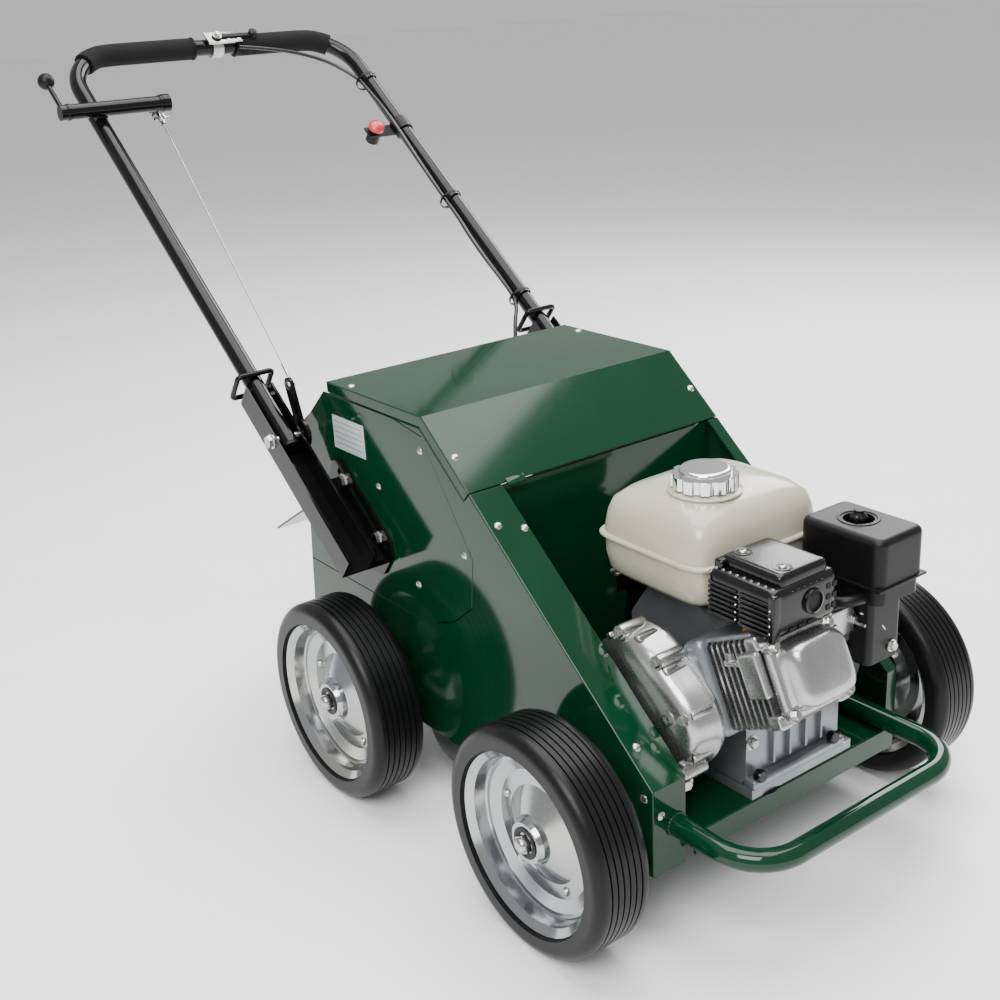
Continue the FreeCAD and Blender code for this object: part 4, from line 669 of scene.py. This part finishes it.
def carburettor_details():
    """The governor and choke rods, the two hoses, and the carburettor's body, bowl and screws."""
    wire("governor_rod", [mm(8, -262, 352), mm(24, -300, 352), mm(44, -330, 344)], 0.0014,
         "zinc_hardware", "frame", 2)
    wire("choke_rod", [mm(56, -344, 330), mm(70, -352, 322), mm(84, -356, 306), mm(96, -352, 292)], 0.0016,
         "zinc_hardware", "frame")
    wire("fuel_hose", [mm(20, -250, 336), mm(22, -278, 322), mm(26, -300, 300), mm(40, -318, 282),
                       mm(58, -320, 266), mm(52, -300, 256)], 0.0046, "cable_sheath", "frame")
    wire("breather_hose", [mm(46, -290, 352), mm(34, -310, 344), mm(24, -330, 348), mm(36, -352, 352),
                           mm(54, -350, 350)], 0.0062, "black_plastic", "frame")

    def parts(work):
        slab(work, Matrix.Translation(mm(36, -333, 322)), (0.040, 0.010, 0.034), 0.003, 3)
        slab(work, Matrix.Translation(mm(62, -341, 316)), (0.012, 0.020, 0.004), 0.0015, 2)
        lathe(work, [(0.0, 0), (0.0155, 0), (0.0165, 0.004), (0.0165, 0.020), (0.013, 0.026), (0.0, 0.026)],
              Matrix.Translation(mm(36, -311, 262)), 28)
        hex_head(work, pointing(mm(36, -311, 262), (0, 0, -1)), 0.0055, 0.006)
        for x in (20, 52):
            hex_head(work, pointing(mm(x, -337, 322), (0, -1, 0)), 0.0045, 0.005)

    add_piece("carburettor_parts", mesh_from("carb", parts), "cast_aluminium", "frame")


def air_cleaner_details():
    """The cover's rolled seam, the recess ring round the wing nut, the bracket bolts and the nut's wings."""
    def ring(work):
        lathe(work, [(0.0185, -0.0008), (0.0200, 0.0012), (0.0225, 0.0010), (0.0240, -0.0008)],
              Matrix.Translation(mm(88, -312, 420)), 40)
        slab(work, Matrix.Translation(mm(87.5, -317, 364.6)), (0.0795, 0.1145, 0.0034), 0.0015, 2)

    add_piece("air_cleaner_ring", mesh_from("ring", ring), "black_plastic", "frame")

    def bolt(work):
        hex_head(work, pointing(mm(112.3, -330, 290), (1, 0, 0)), 0.0058, 0.0065)
        hex_head(work, pointing(mm(96, -356.4, 282), (0, -1, 0)), 0.0050, 0.0060)

    add_piece("air_cleaner_bolts", mesh_from("bolt", bolt), "zinc_hardware", "frame")

    def wings(work):
        base = Matrix.Translation(mm(88, -312, 421.5))
        slab(work, base @ Matrix.Rotation(0.5, 4, "Z"), (0.030, 0.0052, 0.010), 0.0022, 3)
        lathe(work, [(0.0095, -0.005), (0.0095, 0.001), (0.0055, 0.0055), (0.0055, 0.0085), (0, 0.0095)],
              base, 24)

    add_piece("wing_nut_grip", mesh_from("wings", wings), "black_plastic", "wing_nut", ("air_cleaner_nut",))


def tank_details():
    """The tank's two crowned pressings, their rolled seam, the filler collar and the mounting nuts."""
    low, high = span("fuel_tank")
    centre = (low + high) / 2
    half_x, half_y = (high.x - low.x) / 2, (high.y - low.y) / 2
    seam_z = 0.390
    steps = 96

    def ring(work, shrink, z, corner):
        """A rounded rectangle whose sides bow outwards a little."""
        loop = []
        for step in range(steps):
            across, along = squarish(2 * math.pi * step / steps, corner)
            x, y = centre.x + across * (half_x - shrink), centre.y + along * (half_y - shrink)
            loop.append(work.verts.new((x, y, z)))
        return loop

    def shells(work):
        profile = ((0.030, 0.3405), (0.016, 0.3420), (0.009, 0.350), (0.0060, 0.368), (0.0055, seam_z - 0.003),
                   (0.0012, seam_z - 0.0022), (0.0004, seam_z - 0.0010), (0.0004, seam_z + 0.0010),
                   (0.0012, seam_z + 0.0022), (0.0052, seam_z + 0.003), (0.0060, 0.402), (0.0085, 0.418),
                   (0.0135, 0.431), (0.0230, 0.4405), (0.0380, 0.4450), (0.0560, 0.4466), (0.075, 0.4472))
        loops = [ring(work, shrink, z, 7.0 if shrink < 0.02 else 5.0) for shrink, z in profile]
        bridge(work, loops)
        work.faces.new(list(reversed(loops[0])))
        work.faces.new(loops[-1])

    add_piece("tank_shells", mesh_from("tank", shells), "cream_paint", "frame", ("fuel_tank",), smooth=60)

    def collar(work):
        lathe(work, [(0.0405, -0.0015), (0.0412, 0.0008), (0.0385, 0.0024), (0.0330, 0.0034), (0.0310, 0.0050)],
              Matrix.Translation(mm(-14, -184, 447)), 56)

    add_piece("filler_collar", mesh_from("collar", collar), "cream_paint", "frame")

    def nuts(work):
        for x, y in ((-70, -100), (90, -100), (90, -236)):
            hex_head(work, pointing(mm(x, y, 340), (0, 0, -1)), 0.0058, 0.006)

    add_piece("tank_nuts", mesh_from("tank_nuts", nuts), "zinc_hardware", "frame")


def starter_details():
    """Radial louvres, the hub's cap and the screws on the starter cover."""
    crank_y, crank_z = -200, 232
    vanes, screw_count = 24, 6

    def cover(work):
        for step in range(vanes):
            angle = 2 * math.pi * step / vanes
            spot = mm(136, crank_y, crank_z) + Vector((0, math.cos(angle), math.sin(angle))) * 0.079
            base = Matrix.Translation(spot) @ Matrix.Rotation(angle, 4, "X")
            slab(work, base @ Matrix.Rotation(math.radians(32), 4, "Z"), (0.0030, 0.024, 0.0030), 0.001, 2)
        lathe(work, [(0.030, 0), (0.030, 0.0015), (0.026, 0.003), (0, 0.003)],
              pointing(mm(148, crank_y, crank_z), (1, 0, 0)), 40)

    add_piece("starter_louvres", mesh_from("starter", cover), "black_plastic", "frame")

    def screws(work):
        for step in range(screw_count):
            angle = 2 * math.pi * step / screw_count + 0.5
            spot = mm(128, crank_y, crank_z) + Vector((0, math.cos(angle), math.sin(angle))) * 0.0865
            hex_head(work, pointing(spot, (1, 0, 0)), 0.0044, 0.005)

    add_piece("starter_screws", mesh_from("starter_screws", screws), "zinc_hardware", "frame")


# ---------------------------------------------------------------- housing
def plate_label():
    """The blank silver plate on the belt side, with its empty ruled fields."""
    def plate(work):
        slab(work, Matrix.Translation(mm(-199.2, 260.5, 449)), (0.0010, 0.075, 0.044), 0.0004, 2)

    def fields(work):
        for row in range(5):
            slab(work, Matrix.Translation(mm(-199.8, 260.5, 464 - row * 7.2)), (0.0003, 0.066, 0.0004), 0)

    add_piece("rating_plate", mesh_from("plate", plate), "label_silver", "frame")
    add_piece("rating_plate_lines", mesh_from("fields", fields), "shade_and_print_black", "frame", smooth=0)


def housing_details():
    """Weld beads where the front bar ends, the deck's rubber plug and the hood's latch tab."""
    def welds(work):
        for x, y in ((-165, -293), (165, -230)):
            for step in range(22):
                angle = 2 * math.pi * step / 22
                spot = mm(x + 12.6 * math.cos(angle), y, 139 + 12.6 * math.sin(angle))
                slab(work, Matrix.Translation(spot) @ Matrix.Rotation(angle, 4, "Y"),
                     (0.004, 0.004, 0.004), 0.0014, 2)

    add_piece("bar_welds", mesh_from("welds", welds), "green_paint", "frame", smooth=60)

    def plug(work):
        lathe(work, [(0, 0.0016), (0.016, 0.0016), (0.021, 0.0004), (0.021, 0)],
              Matrix.Translation(mm(-30, -286, 126)), 32)

    add_piece("deck_plug", mesh_from("plug", plug), "black_plastic", "frame")

    def latch(work):
        slab(work, Matrix.Translation(mm(-133, 1, 441)) @ Matrix.Rotation(math.radians(40), 4, "X"),
             (0.026, 0.010, 0.003), 0.001, 2)

    add_piece("hood_latch", mesh_from("latch", latch), "green_paint", "frame")


def extra_finishes():
    # One flat black for two uses: painted shade in the muffler guard's openings, and the printed lines on the
    # rating plate.
    FINISH["shade_and_print_black"] = finish("shade_and_print_black", (0.003, 0.003, 0.003), 0.8, grain=400)
    FINISH["hot_pipe"] = finish("hot_pipe", (0.16, 0.075, 0.028), 0.42, metallic=0.8, grain=500, bump=0.15,
                                tint=(0.24, 0.13, 0.06), patch=30)
    FINISH["label_silver"] = finish("label_silver", (0.42, 0.47, 0.47), 0.42, metallic=0.3, grain=900,
                                    bump=0.05)


DETAILS = [wheel_details, grip_sleeves, throttle_details, lift_details, tube_end_caps, muffler_guard,
           exhaust_pipe, head_cover, cylinder_details, reduction_details, crankcase_details, carburettor_details,
           air_cleaner_details, tank_details, starter_details, plate_label, housing_details]

FINISH = slot_finishes()
extra_finishes()
studio()
camera()
paint_frame(FINISH)
for detail in DETAILS:
    detail()
